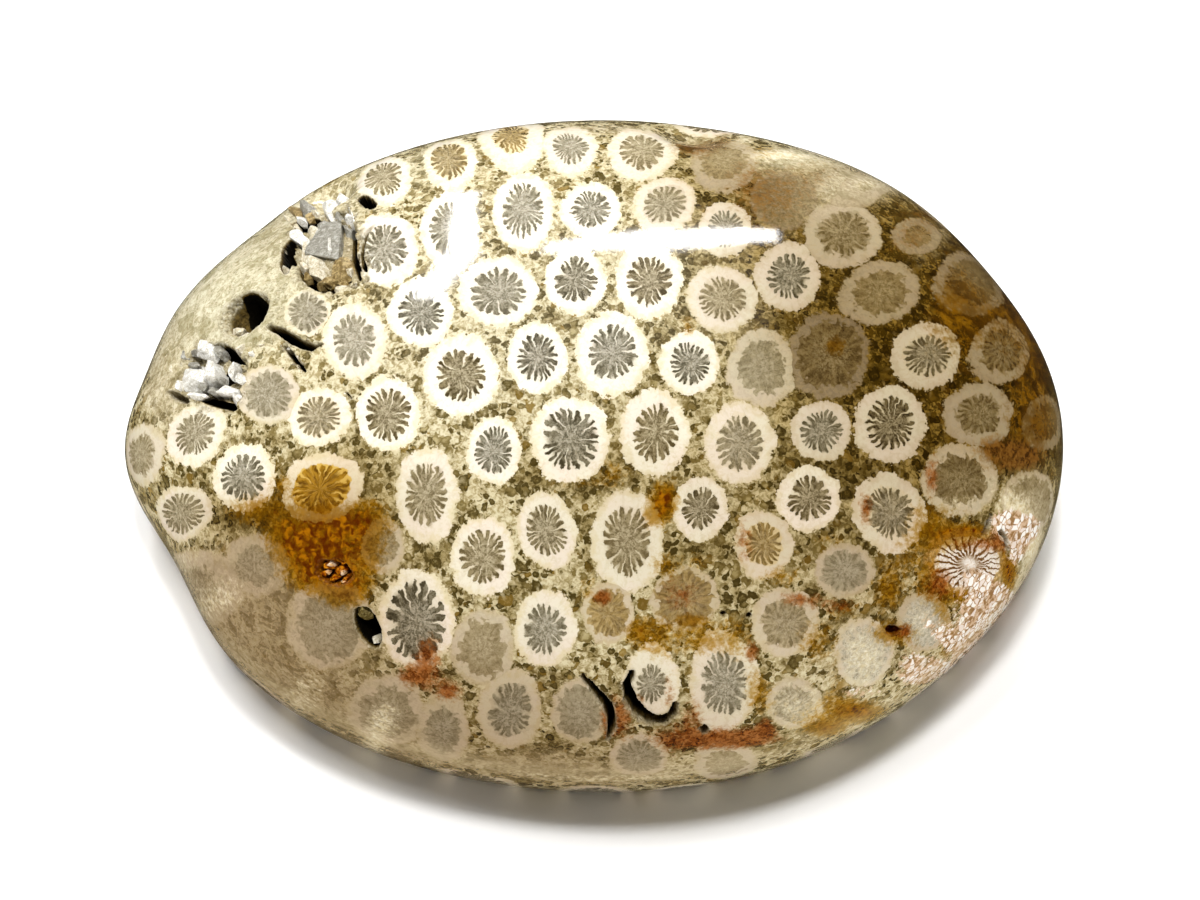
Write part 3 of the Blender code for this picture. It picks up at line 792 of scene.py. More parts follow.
def bake_map():
    # share of the way from crown to girdle, by arc length
    z = np.clip(P0[:, 2], GIRDLE_HEIGHT, CROWN_HEIGHT)
    fine = np.linspace(0.0, 97.0, 400)
    arc = dome_points(40.0, fine)
    along = np.concatenate([[0.0], np.cumsum(np.linalg.norm(np.diff(arc, axis=0), axis=1))])
    along /= along[-1]
    shares = np.concatenate([arc[:, 2]])
    share = np.interp(-P0[:, 2], -shares, along)
    t = np.radians(angle0)
    top = np.stack([0.5 + 0.492 * share * np.cos(t), 0.632 + 0.362 * share * np.sin(t)], 1)
    base = np.stack([0.175 + 0.165 * P0[:, 0] / 32.0, 0.128 + 0.122 * P0[:, 1] / 24.0], 1)
    uv = top[tri]
    on_base = zone == 2
    uv[on_base] = base[tri[on_base]]
    side = zone == 1
    mid_angle = np.degrees(np.arctan2(mid[side][:, 1] / HALF_DEPTH, mid[side][:, 0] / HALF_LENGTH)) % 360.0
    row = np.minimum((mid_angle // 120.0).astype(int), 2)
    ca = angle0[tri[side]] % 360.0
    ca = ca + 360.0 * np.round((mid_angle[:, None] - ca) / 360.0)
    cz = P0[tri[side]][:, :, 2]
    low, high = -0.3, 6.9
    us = 0.365 + 0.62 * (ca - 120.0 * row[:, None]) / 120.0
    vs = 0.010 + 0.084 * row[:, None] + 0.070 * (cz - low) / (high - low)
    uv[side] = np.stack([us, vs], 2)
    return uv


layer = mesh.uv_layers.new(name="OFBake")
layer.uv.foreach_set("vector", bake_map().astype(np.float32).ravel())
mesh.attributes.remove(mesh.attributes["zone"])
for poly in mesh.polygons:
    poly.use_smooth = True
recessed = ((DEEP[tri].min(1) > 0.10) & (BROKEN[tri].min(1) > 0.5)).astype(np.int32)
mesh.polygons.foreach_set("material_index", recessed)
mesh.update()

stone = bpy.data.objects.new("coral_head_polished", mesh)
bpy.context.scene.collection.objects.link(stone)

# =============================================================================
# Finish
# =============================================================================
def ink(r, g, b):
    """A colour given as 0-255 screen values, as the renderer wants it."""
    def one(v):
        v = v / 255.0
        return v / 12.92 if v <= 0.04045 else ((v + 0.055) / 1.055) ** 2.4
    return (one(r), one(g), one(b), 1.0)


class Paint:
    """Short names for the nodes of one material."""

    def __init__(self, name):
        self.material = bpy.data.materials.new(name)
        self.material.use_nodes = True
        self.tree = self.material.node_tree
        self.tree.nodes.clear()
        self.out = self.tree.nodes.new("ShaderNodeOutputMaterial")
        self.surface = self.tree.nodes.new("ShaderNodeBsdfPrincipled")
        self.tree.links.new(self.surface.outputs[0], self.out.inputs["Surface"])

    def put(self, value, socket):
        if isinstance(value, bpy.types.NodeSocket):
            self.tree.links.new(value, socket)
        else:
            socket.default_value = value

    def math(self, operation, a, b=0.0, c=0.0, clamp=False):
        node = self.tree.nodes.new("ShaderNodeMath")
        node.operation, node.use_clamp = operation, clamp
        for value, socket in zip((a, b, c), node.inputs):
            self.put(value, socket)
        return node.outputs[0]

    def add(self, a, b): return self.math("ADD", a, b)
    def sub(self, a, b): return self.math("SUBTRACT", a, b)
    def mul(self, a, b): return self.math("MULTIPLY", a, b)
    def div(self, a, b): return self.math("DIVIDE", a, b)
    def top(self, a, b): return self.math("MAXIMUM", a, b)
    def low(self, a, b): return self.math("MINIMUM", a, b)
    def inv(self, a): return self.math("SUBTRACT", 1.0, a)

    def vec(self, operation, a, b=None, scale=None):
        node = self.tree.nodes.new("ShaderNodeVectorMath")
        node.operation = operation
        self.put(a, node.inputs[0])
        if b is not None:
            self.put(b, node.inputs[1])
        if scale is not None:
            self.put(scale, node.inputs[3])
        return node.outputs[0]

    def step(self, x, low, high, start=0.0, end=1.0, kind="SMOOTHSTEP"):
        node = self.tree.nodes.new("ShaderNodeMapRange")
        node.interpolation_type = kind
        for value, socket in zip((x, low, high, start, end), node.inputs):
            self.put(value, socket)
        return node.outputs[0]

    def mix(self, share, a, b, mode="MIX"):
        node = self.tree.nodes.new("ShaderNodeMix")
        node.data_type, node.blend_type = "RGBA", mode
        self.put(share, node.inputs[0])
        self.put(a, node.inputs[6])
        self.put(b, node.inputs[7])
        return node.outputs[2]

    def between(self, share, a, b):
        node = self.tree.nodes.new("ShaderNodeMix")
        node.data_type = "FLOAT"
        self.put(share, node.inputs[0])
        self.put(a, node.inputs[2])
        self.put(b, node.inputs[3])
        return node.outputs[0]

    def noise(self, where, scale, detail=2.0, rough=0.5, wander=0.0):
        node = self.tree.nodes.new("ShaderNodeTexNoise")
        self.put(where, node.inputs["Vector"])
        node.inputs["Scale"].default_value = scale
        node.inputs["Detail"].default_value = detail
        node.inputs["Roughness"].default_value = rough
        node.inputs["Distortion"].default_value = wander
        return node

    def cells(self, where, scale, feature="F1", random=1.0):
        node = self.tree.nodes.new("ShaderNodeTexVoronoi")
        node.feature = feature
        self.put(where, node.inputs["Vector"])
        self.put(scale, node.inputs["Scale"])
        node.inputs["Randomness"].default_value = random
        return node

    def mark(self, name):
        node = self.tree.nodes.new("ShaderNodeAttribute")
        node.attribute_name = name
        return node.outputs["Vector"]

    def parts(self, vector):
        node = self.tree.nodes.new("ShaderNodeSeparateXYZ")
        self.put(vector, node.inputs[0])
        return node.outputs[0], node.outputs[1], node.outputs[2]

    def join(self, x, y, z):
        node = self.tree.nodes.new("ShaderNodeCombineXYZ")
        for value, socket in zip((x, y, z), node.inputs):
            self.put(value, socket)
        return node.outputs[0]

    def millimetres(self):
        node = self.tree.nodes.new("ShaderNodeTexCoord")
        return self.vec("SCALE", node.outputs["Object"], scale=1000.0)

    def relief(self, height, strength, distance=0.0002):
        node = self.tree.nodes.new("ShaderNodeBump")
        node.inputs["Strength"].default_value = strength
        node.inputs["Distance"].default_value = distance
        self.put(height, node.inputs["Height"])
        self.put(node.outputs[0], self.surface.inputs["Normal"])


GRADE = (1.28, 1.38, 1.62)
LIGHT = 1.38


def hue(r, g, b):
    """A stone colour given as the 0-255 values it shows under the studio light."""
    full = ink(r, g, b)
    return tuple((c / LIGHT) ** (1.0 / p) for c, p in zip(full[:3], GRADE)) + (1.0,)


def coral_finish(name, matt):
    g = Paint(name)
    add, sub, mul, div, step, mix = g.add, g.sub, g.mul, g.div, g.step, g.mix
    at = g.millimetres()

    wide_warp = g.vec("SUBTRACT", g.noise(at, 0.42, 1.0).outputs["Color"], (0.5, 0.5, 0.5))
    close_warp = g.vec("SUBTRACT", g.noise(at, 1.5, 2.0, 0.55).outputs["Color"], (0.5, 0.5, 0.5))
    ww, cw = g.parts(wide_warp), g.parts(close_warp)
    fine = g.noise(at, 7.0, 3.0, 0.6).outputs["Fac"]
    medium = g.noise(at, 2.4, 3.0, 0.6, 0.4).outputs["Fac"]
    mottle = g.noise(at, 3.3, 4.0, 0.62, 0.8).outputs["Fac"]
    patchy = g.noise(at, 0.85, 2.0, 0.5, 0.3).outputs["Fac"]
    broad = g.noise(at, 0.33, 3.0, 0.55).outputs["Fac"]

    # the nearer of the two corallites that the point may belong to
    found = []
    for letter in "ab":
        place = g.parts(g.mark("place_" + letter))
        u = add(add(place[0], mul(ww[0], 0.24)), mul(cw[0], 0.13))
        v = add(add(place[1], mul(ww[1], 0.24)), mul(cw[1], 0.13))
        q = g.math("SQRT", add(mul(u, u), mul(v, v)))
        found.append((u, v, q, place[2], g.mark("tone_" + letter), g.mark("more_" + letter)))
    (ua, va, qa, sa, ta, ma), (ub, vb, qb, sb, tb, mb) = found
    other = g.math("LESS_THAN", qb, qa)
    u, v = g.between(other, ua, ub), g.between(other, va, vb)
    q, seed = g.between(other, qa, qb), g.between(other, sa, sb)
    calice, wall, dark = g.parts(mix(other, ta, tb))
    clear, fill, _ = g.parts(mix(other, ma, mb))

    stain_amber, stain_rust, stain_brown = g.parts(g.mark("stain"))
    # cast holds paler stone with painted sheen, olive stone with painted shade, and clouding with a painted reflection
    # line along the limbs
    pale_and_sheen, olive, clouded_and_limb_sheen = g.parts(g.mark("cast"))
    # the third value of state is painted shade for the holes, not their depth
    chalk, broken, deep = g.parts(g.mark("state"))
    # the first value of rimmed is the painted glow band round the girdle
    girdle_glow, under, warm = g.parts(g.mark("rimmed"))
    # this mark holds cream spots and painted reflection lines along the limbs and lower edge
    cream_and_sheen_mask, _, _ = g.parts(g.mark("cream_and_sheen"))

    # ---- septa and the pockets between them
    whole = mul(2.0, g.math("FLOOR", add(mul(seed, 2.99), 9.0)))
    bend = mul(sub(g.noise(at, 1.7, 2.0, 0.6).outputs["Fac"], 0.5), mul(sub(1.05, q), 0.70))
    turn = add(div(g.math("ARCTAN2", v, u), 2.0 * math.pi), div(bend, 2.0 * math.pi))
    phase = add(mul(turn, whole), mul(g.math("SINE", add(mul(turn, 6.0 * math.pi), mul(seed, 9.0))), 0.26))
    nearest_line = g.math("FLOOR", add(phase, 0.5))
    offset = g.math("ABSOLUTE", sub(phase, nearest_line))
    line_id = g.math("FLOORED_MODULO", nearest_line, whole)
    pocket_id = g.math("FLOORED_MODULO", g.math("FLOOR", phase), whole)
    minor = g.math("FLOORED_MODULO", nearest_line, 2.0)
    spacing = div(mul(q, 2.0 * math.pi), whole)
    across = mul(offset, spacing)

    def chance(which, salt):
        node = g.tree.nodes.new("ShaderNodeTexWhiteNoise")
        node.noise_dimensions = "2D"
        g.put(g.join(which, mul(seed, salt), 0.0), node.inputs["Vector"])
        return node.outputs["Value"]

    each_line, line_glow = chance(line_id, 91.7), chance(line_id, 33.1)
    each_pocket = chance(pocket_id, 57.3)
    warmth = chance(3.0, 71.3)

    edge_in = add(mul(calice, 1.05), mul(sub(medium, 0.5), 0.12))
    edge_in = add(edge_in, mul(sub(each_line, 0.5), 0.040))
    share = div(q, edge_in)
    cap = g.math("DIVIDE", sub(q, sub(edge_in, 0.056)), 0.056, clamp=True)
    cap = g.math("POWER", cap, 1.8)
    thin = add(add(0.010, mul(each_line, 0.010)), mul(g.math("MAXIMUM", sub(fine, 0.5), 0.0), 0.050))
    thin = add(thin, mul(spacing, mul(step(share, 0.50, 1.0), add(0.06, mul(line_glow, 0.19)))))
    half = g.between(cap, thin, mul(spacing, 0.56))
    soft = g.between(clear, 0.040, 0.010)
    line = step(across, sub(half, soft), add(half, soft), 1.0, 0.0)
    reach = add(add(0.52, mul(minor, 0.20)), mul(sub(each_line, 0.5), 0.40))
    kept = step(share, sub(reach, 0.10), add(reach, 0.12))
    kept = add(mul(kept, 0.90), mul(step(mottle, 0.40, 0.58), g.between(minor, 0.34, 0.12)))
    line = mul(mul(line, g.math("MULTIPLY", kept, 1.0, clamp=True)), step(clear, 0.10, 0.75, 0.15, 1.0))
    deep_in = step(share, 0.72, 0.96, 1.0, 0.0)

    # ---- wall: white, unevenly crenulated outside
    tooth = mul(mul(g.math("COSINE", mul(phase, 2.0 * math.pi)), 0.018), step(patchy, 0.35, 0.65, 0.0, 1.0))
    q_out = add(add(q, mul(sub(medium, 0.5), 0.32)), mul(sub(fine, 0.5), 0.13))
    q_out = add(q_out, mul(sub(patchy, 0.5), 0.12))
    q_out = sub(q_out, tooth)
    blur = g.between(clear, 0.048, 0.016)
    inside = step(q_out, sub(0.985, blur), add(0.985, blur), 1.0, 0.0)
    lumpy = g.noise(at, 1.9, 1.5, 0.5, 0.5).outputs["Fac"]
    rag = mul(sub(lumpy, 0.5), g.between(clear, 0.75, 0.10))
    in_calice = step(add(q, rag), sub(edge_in, mul(blur, 0.9)), add(edge_in, mul(blur, 0.9)), 1.0, 0.0)

    # streaks that run in toward the middle, and the granular columella
    angle = mul(turn, 2.0 * math.pi)
    ray = g.join(mul(g.math("COSINE", angle), 5.6), mul(g.math("SINE", angle), 5.6),
                 add(mul(seed, 40.0), mul(q, 2.6)))
    streak = g.noise(ray, 1.0, 3.0, 0.66).outputs["Fac"]
    speckle = g.noise(at, 4.3, 3.0, 0.62, 0.9).outputs["Fac"]
    core = step(add(share, mul(sub(mottle, 0.5), 0.70)), 0.40, 0.80, 1.0, 0.0)
    tone = add(mul(step(streak, 0.42, 0.58), 0.74), mul(step(speckle, 0.40, 0.60), 0.34))
    tone = add(tone, mul(sub(each_pocket, 0.5), 0.30))
    cool = step(warmth, 0.35, 0.65)
    deep_pocket = mix(cool, mix(dark, hue(132, 118, 82), hue(46, 36, 18)),
                      mix(dark, hue(136, 130, 108), hue(46, 42, 30)))
    lit_pocket = mix(cool, mix(dark, hue(188, 174, 138), hue(122, 108, 76)),
                     mix(dark, hue(188, 182, 158), hue(122, 116, 98)))
    pockets = mix(g.math("MULTIPLY", tone, 1.0, clamp=True), deep_pocket, lit_pocket)
    middle_low = mix(cool, mix(dark, hue(148, 134, 100), hue(76, 64, 42)),
                     mix(dark, hue(148, 142, 120), hue(80, 76, 62)))
    middle_high = mix(cool, mix(dark, hue(212, 202, 170), hue(174, 162, 132)),
                      mix(dark, hue(210, 204, 186), hue(174, 168, 152)))
    grit = add(mul(step(speckle, 0.42, 0.58), 0.72), mul(step(streak, 0.43, 0.58), 0.30))
    grit = g.math("MULTIPLY", grit, 1.0, clamp=True)
    columella = mix(grit, middle_low, middle_high)
    pockets = mix(mul(core, 0.86), pockets, columella)
    milk = step(dark, 0.06, 0.02)
    pockets = mix(mul(milk, 0.85), pockets, mix(step(speckle, 0.38, 0.60), hue(182, 180, 166), hue(230, 230, 220)))
    pockets = mix(mul(mul(step(fine, 0.44, 0.34), 0.55), g.inv(mul(core, 0.6))), pockets,
                  mix(dark, hue(112, 100, 70), hue(40, 34, 18)))

    wall_hue = mix(step(broad, 0.40, 0.60), hue(252, 247, 229), hue(253, 242, 228))
    # walls turn darker and greyer under the olive patches: partly olive stone, partly painted shade
    wall_low = mix(olive, mix(step(broad, 0.42, 0.62), hue(178, 158, 118), hue(182, 164, 136)), hue(150, 138, 126))
    wall_tint = mix(wall, wall_low, wall_hue)
    wall_tint = mix(mul(step(mottle, 0.48, 0.64), 0.40), wall_tint, mix(wall, hue(146, 124, 90), hue(224, 208, 182)))
    wall_tint = mix(mul(step(streak, 0.50, 0.34), 0.26), wall_tint, mix(wall, hue(140, 120, 86), hue(214, 198, 170)))
    outer = mul(step(add(q_out, mul(sub(patchy, 0.5), 0.5)), 0.80, 1.0), 0.46)
    wall_tint = mix(outer, wall_tint, mix(wall, mix(olive, hue(156, 134, 88), hue(132, 114, 92)), mix(olive, hue(230, 212, 158), hue(214, 198, 178))))
    line_tint = mix(add(0.04, mul(deep_in, 0.34)), wall_tint, mix(cool, hue(214, 200, 160), hue(208, 204, 186)))

    inner = mix(line, pockets, line_tint)
    coral = mix(in_calice, wall_tint, inner)
    amber_fill = mix(step(streak, 0.36, 0.62), hue(104, 62, 0), hue(186, 134, 16))
    gold = mix(line, amber_fill, hue(232, 190, 78))
    starry = step(fill, -0.2, -0.6)
    fill = g.top(fill, 0.0)
    coral = mix(mul(mul(in_calice, fill), 0.88), coral, gold)
    coral = mix(mul(mul(g.inv(in_calice), fill), 0.14), coral, hue(206, 160, 70))
    vein = step(add(across, mul(sub(fine, 0.5), 0.02)), 0.014, 0.040, 1.0, 0.0)
    star = mix(mul(vein, step(share, 0.10, 0.40)), mix(step(speckle, 0.36, 0.58), hue(222, 204, 188), hue(255, 252, 248)), hue(108, 70, 34))
    star = mix(mul(step(speckle, 0.60, 0.70), 0.5), star, hue(150, 110, 70))
    coral = mix(mul(starry, in_calice), coral, star)
    coral = mix(mul(mul(starry, g.inv(in_calice)), 0.75), coral, mix(step(mottle, 0.4, 0.6), hue(128, 88, 14), hue(214, 170, 86)))
    ghost = mix(step(mottle, 0.38, 0.62), hue(138, 120, 86), hue(182, 166, 132))
    ghost = mix(olive, ghost, mix(step(mottle, 0.38, 0.62), hue(88, 66, 22), hue(150, 126, 78)))
    coral = mix(g.between(clear, 0.50, 0.0), coral, ghost)

    # ---- the small cells between corallites: pebbly grains in a cream ground
    def pebbles(scale, bend_by):
        where = g.vec("ADD", at, g.vec("SCALE", close_warp, scale=bend_by))
        node = g.cells(where, scale, "F1")
        return add(node.outputs["Distance"], mul(sub(fine, 0.5), 0.30)), g.parts(node.outputs["Color"])

    big, big_each = pebbles(1.12, 0.95)
    little, little_each = pebbles(1.85, 0.60)
    pick = step(g.noise(at, 0.75, 2.0, 0.5).outputs["Fac"], 0.50, 0.54)
    gap = g.between(pick, big, little)
    each_x = g.between(pick, big_each[0], little_each[0])
    each_y = g.between(pick, big_each[1], little_each[1])
    each_z = g.between(pick, big_each[2], little_each[2])
    clump = add(mul(sub(patchy, 0.5), 1.9), mul(sub(broad, 0.5), 1.2))
    # the pale patches, partly painted sheen, make the grains smaller and lighter; the olive patches, partly painted
    # shade, make them larger and darker
    clump = add(clump, mul(sub(pale_and_sheen, 0.35), 0.16))
    clump = sub(clump, mul(olive, 0.22))
    size = sub(add(0.50, mul(sub(each_y, 0.5), 0.16)), mul(step(clump, -0.05, 0.55), 0.26))
    stone_in = step(gap, sub(size, 0.05), add(size, 0.05), 1.0, 0.0)
    heart = step(gap, sub(size, 0.36), sub(size, 0.12), 1.0, 0.0)
    tone_of = add(each_x, mul(clump, 0.42))
    cell_dark = mix(olive, hue(72, 60, 26), hue(42, 27, 0))
    cell_mid = mix(olive, hue(128, 111, 66), hue(84, 60, 4))
    cell_pale = mix(olive, hue(184, 170, 124), hue(124, 94, 22))
    rind = mix(step(tone_of, 0.30, 0.85), cell_dark, cell_mid)
    flesh = mix(step(tone_of, 0.16, 0.52), mix(0.30, cell_dark, cell_mid), cell_mid)
    flesh = mix(mul(step(tone_of, 0.50, 0.90), 0.90), flesh, cell_pale)
    flesh = mix(mul(step(speckle, 0.50, 0.66), 0.45), flesh, cell_pale)
    cell = mix(heart, rind, flesh)
    cell = mix(mul(step(each_z, 0.84, 0.95), 0.40), cell, mix(olive, hue(166, 130, 54), hue(120, 84, 18)))
    cell = mix(mul(step(fine, 0.43, 0.33), 0.36), cell, mix(olive, hue(62, 50, 22), hue(34, 22, 2)))
    cream = mix(step(mottle, 0.36, 0.62), hue(168, 152, 108), hue(226, 216, 182))
    earth = mix(step(mottle, 0.38, 0.60), hue(104, 88, 50), hue(168, 152, 106))
    between = mix(step(clump, -0.38, 0.10), earth, cream)
    between = mix(olive, between, mix(step(add(mottle, mul(clump, 0.25)), 0.42, 0.62), hue(64, 44, 0), hue(146, 114, 40)))
    ground = mix(stone_in, between, cell)
    ribs = mul(step(offset, 0.06, 0.20, 1.0, 0.0), step(q, 1.02, 1.26, 1.0, 0.0))
    web_light = mix(olive, hue(232, 222, 190), hue(160, 136, 92))
    ground = mix(mul(mul(ribs, clear), step(medium, 0.42, 0.62, 0.0, 0.65)), ground, web_light)
    skirt = mul(step(offset, 0.26, 0.44), mul(step(q, 1.0, 1.05), step(q, 1.08, 1.20, 1.0, 0.0)))
    ground = mix(mul(mul(skirt, clear), step(speckle, 0.42, 0.60, 0.0, 0.75)), ground, cell_dark)
    # painted sheen: the ground is lighter under the pale patches
    ground = mix(mul(pale_and_sheen, mul(step(mottle, 0.34, 0.66), 0.16)), ground, hue(224, 214, 182))

    colour = mix(inside, ground, coral)
    # painted shade: the olive patches darken the whole colour, most on the right side
    colour = mix(mul(olive, 0.95), colour, mix(1.0, colour, hue(226, 214, 188), "MULTIPLY"))

    # ---- stains, clouding and chalk, with painted sheen, painted reflection lines and a painted glow round the girdle
    rough_edge = add(mul(sub(medium, 0.5), 0.9), mul(sub(fine, 0.5), 0.35))

    def blot(mask, low=0.22, high=0.70):
        return step(add(mask, mul(rough_edge, step(mask, 0.0, 0.3))), low, high)

    # clouding, and the painted reflection line along the limbs
    cloud = blot(clouded_and_limb_sheen, 0.10, 0.95)
    swirl = g.noise(at, 0.62, 3.0, 0.55, 1.1).outputs["Fac"]
    haze = mix(step(swirl, 0.38, 0.60), hue(147, 131, 101), hue(195, 181, 152))
    # painted sheen: the haze is lighter under the pale patches
    haze = mix(pale_and_sheen, haze, mix(step(swirl, 0.38, 0.60), hue(178, 172, 138), hue(224, 219, 192)))
    haze = mix(mul(step(mottle, 0.54, 0.40), g.between(pale_and_sheen, 0.6, 0.55)), haze, mix(pale_and_sheen, hue(132, 112, 78), hue(148, 138, 98)))
    haze = mix(mul(step(speckle, 0.52, 0.70), g.between(pale_and_sheen, 0.5, 0.22)), haze, mix(pale_and_sheen, hue(206, 190, 156), hue(232, 226, 206)))
    band = g.math("ABSOLUTE", sub(g.math("FRACT", add(mul(swirl, 5.0), mul(fine, 0.25))), 0.5))
    haze = mix(mul(step(band, 0.18, 0.03), 0.58), haze, mix(pale_and_sheen, hue(214, 198, 164), hue(236, 228, 204)))
    colour = mix(mul(cloud, g.between(inside, 0.84, 0.38)), colour, haze)
    colour = mix(mul(warm, 0.85), colour, mix(1.0, colour, mix(inside, hue(218, 200, 176), hue(232, 216, 200)), "MULTIPLY"))
    # near-white cream: cream spots, and painted reflection lines along the limbs and lower edge
    cream_and_sheen = mix(step(mottle, 0.38, 0.62), hue(226, 208, 164), hue(252, 244, 218))
    colour = mix(mul(blot(cream_and_sheen_mask, 0.16, 0.75), 0.85), colour, cream_and_sheen)
    honey = blot(stain_amber)
    colour = mix(mul(honey, 0.85), colour, mix(1.0, colour, mix(olive, hue(240, 196, 96), hue(206, 168, 92)), "MULTIPLY"))
    gold_tint = mix(step(mottle, 0.34, 0.64), hue(80, 50, 0), hue(158, 110, 12))
    gold_tint = mix(olive, gold_tint, mix(step(patchy, 0.40, 0.62), hue(78, 48, 0), hue(138, 94, 6)))
    colour = mix(mul(honey, mul(g.inv(mul(inside, 0.50)), 0.68)), colour, gold_tint)
    ember = step(add(stain_amber, mul(rough_edge, 0.7)), 0.62, 0.98)
    colour = mix(mul(mul(ember, g.inv(mul(inside, 0.6))), 0.85), colour,
                 mix(step(lumpy, 0.40, 0.60), hue(78, 26, 0), mix(step(medium, 0.4, 0.6), hue(112, 66, 0), hue(164, 100, 4))))
    russet = blot(stain_rust, 0.20, 0.75)
    colour = mix(mul(russet, 0.85), colour, mix(1.0, colour, hue(210, 146, 88), "MULTIPLY"))
    colour = mix(mul(russet, 0.52), colour, mix(step(mottle, 0.40, 0.60), hue(92, 38, 6), hue(166, 90, 34)))
    umber = blot(stain_brown, 0.20, 0.80)
    colour = mix(mul(umber, 0.88), colour, mix(step(medium, 0.38, 0.62), hue(66, 36, 4), hue(122, 80, 28)))
    chip = g.cells(g.vec("ADD", at, g.vec("SCALE", close_warp, scale=0.4)), 2.1, "DISTANCE_TO_EDGE").outputs["Distance"]
    chip_each = g.parts(g.cells(g.vec("ADD", at, g.vec("SCALE", close_warp, scale=0.4)), 2.1, "F1").outputs["Color"])
    whitened = mul(step(chip, 0.03, 0.12), step(add(chip_each[0], mul(sub(medium, 0.5), 0.5)), 0.30, 0.45))
    dusty = mix(whitened, mix(step(medium, 0.42, 0.58), hue(150, 112, 70), hue(216, 184, 152)),
                mix(step(chip_each[1], 0.3, 0.7), hue(240, 226, 216), hue(255, 253, 250)))
    colour = mix(mul(blot(chalk, 0.28, 0.52), 0.95), colour, dusty)
    # painted glow: a pale band round the girdle
    colour = mix(mul(girdle_glow, 0.30), colour, hue(222, 206, 170))

    # ---- broken ground: dull, crystalline, with painted shade dark in the depths
    crust = g.cells(at, 3.4, "F1").outputs["Distance"]
    crumbs = mix(step(crust, 0.15, 0.55), hue(232, 224, 204), hue(176, 164, 132))
    crumbs = mix(step(fine, 0.50, 0.36), crumbs, hue(112, 94, 56))
    honeyed = mix(step(crust, 0.15, 0.55), hue(206, 138, 28), hue(112, 56, 4))
    crumbs = mix(step(stain_amber, 0.35, 0.75), crumbs, honeyed)
    colour = mix(mul(broken, 0.62), colour, crumbs)
    # dark olive-brown lining in the holes: partly the vug's own colour, partly painted shade
    lining_and_shade = step(add(deep, mul(sub(medium, 0.5), 0.20)), 0.10, 0.34)
    lining_and_shade_tint = mix(step(medium, 0.42, 0.58), hue(54, 40, 10), hue(98, 78, 34))
    colour = mix(mul(lining_and_shade, 0.90), colour, mix(step(stain_amber, 0.35, 0.75), lining_and_shade_tint, hue(74, 28, 2)))
    # painted shadow: near black in the depths of holes
    hole_shadow = step(add(deep, mul(sub(medium, 0.5), 0.16)), 0.40, 0.72)
    colour = mix(mul(hole_shadow, 0.99), colour, hue(10, 8, 4))

    split = g.tree.nodes.new("ShaderNodeSeparateColor")
    g.put(colour, split.inputs[0])
    tone = g.tree.nodes.new("ShaderNodeCombineColor")
    for k, power in enumerate(GRADE):
        paint = g.math("POWER", g.math("MAXIMUM", split.outputs[k], 0.001), power)
        g.put(g.math("MINIMUM", paint, 0.95), tone.inputs[k])
    g.put(tone.outputs[0], g.surface.inputs["Base Color"])
    worn = add(0.05, mul(step(fine, 0.3, 0.8), 0.04))
    worn = add(worn, mul(under, 0.06))
    g.put(g.between(broken, worn, 0.90 if matt else 0.62), g.surface.inputs["Roughness"])
    g.surface.inputs["IOR"].default_value = 1.54
    if matt:
        g.surface.inputs["Specular IOR Level"].default_value = 0.12
    height = add(mul(fine, 0.4), mul(medium, 0.6))
    height = mul(height, add(0.02, mul(broken, 1.0)))
    height = add(height, mul(mul(sub(0.5, crust), broken), 0.5))
    g.relief(height, 0.55, 0.00035)
    return g.material


stone.data.materials.append(coral_finish("polished_coral_stone", False))
stone.data.materials.append(coral_finish("broken_coral_stone", True))
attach(stone, "root")
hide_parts("coral_head")


# =============================================================================
# Blocks and crystals that stand in the vugs
# =============================================================================
def block_stone(name, light, mid, dark, rough, dusk=0.45):
    g = Paint(name)
    at = g.millimetres()
    coarse = g.noise(at, 3.1, 3.0, 0.6, 0.6).outputs["Fac"]
    small = g.noise(at, 6.5, 3.0, 0.65).outputs["Fac"]
    veined = g.math("ABSOLUTE", g.sub(g.noise(at, 3.1, 3.0, 0.6, 1.2).outputs["Fac"], 0.5))
    colour = g.mix(g.step(coarse, 0.38, 0.62), hue(*mid), hue(*light))
    colour = g.mix(g.mul(g.step(small, 0.50, 0.34), dusk), colour, hue(*dark))
    colour = g.mix(g.mul(g.step(veined, 0.035, 0.0), 0.5), colour, hue(*dark))
    split = g.tree.nodes.new("ShaderNodeSeparateColor")
    g.put(colour, split.inputs[0])
    tone = g.tree.nodes.new("ShaderNodeCombineColor")
    for k, power in enumerate(GRADE):
        g.put(g.math("POWER", g.math("MAXIMUM", split.outputs[k], 0.001), power), tone.inputs[k])
    g.put(tone.outputs[0], g.surface.inputs["Base Color"])
    g.put(g.add(rough, g.mul(small, 0.12)), g.surface.inputs["Roughness"])
    g.surface.inputs["IOR"].default_value = 1.54
    g.relief(g.add(g.mul(small, 0.5), coarse), 0.45, 0.00012)
    return g.material


BLOCK_KINDS = {
    "white": ("chalky_crystal", (255, 254, 248), (222, 218, 208), (136, 126, 104), 0.30, 0.55),
    "grey": ("grey_crystal", (186, 184, 174), (142, 138, 126), (84, 76, 58), 0.24, 0.55),
    "cream": ("cream_rubble", (246, 240, 222), (206, 194, 164), (124, 104, 66), 0.45, 0.60),
    "tan": ("tan_rubble", (184, 162, 112), (128, 106, 60), (66, 46, 16), 0.45, 0.55),
    "olive": ("olive_crystal", (150, 136, 86), (100, 84, 42), (48, 36, 12), 0.16, 0.40),
    # spark: a near-white crystal that is a painted glint
    "spark": ("amber_crystal_painted_glint", (255, 240, 214), (232, 180, 116), (120, 52, 6), 0.06, 0.45),
    "amber": ("amber_crystal", (232, 150, 26), (128, 54, 2), (52, 14, 0), 0.07, 0.55),
}


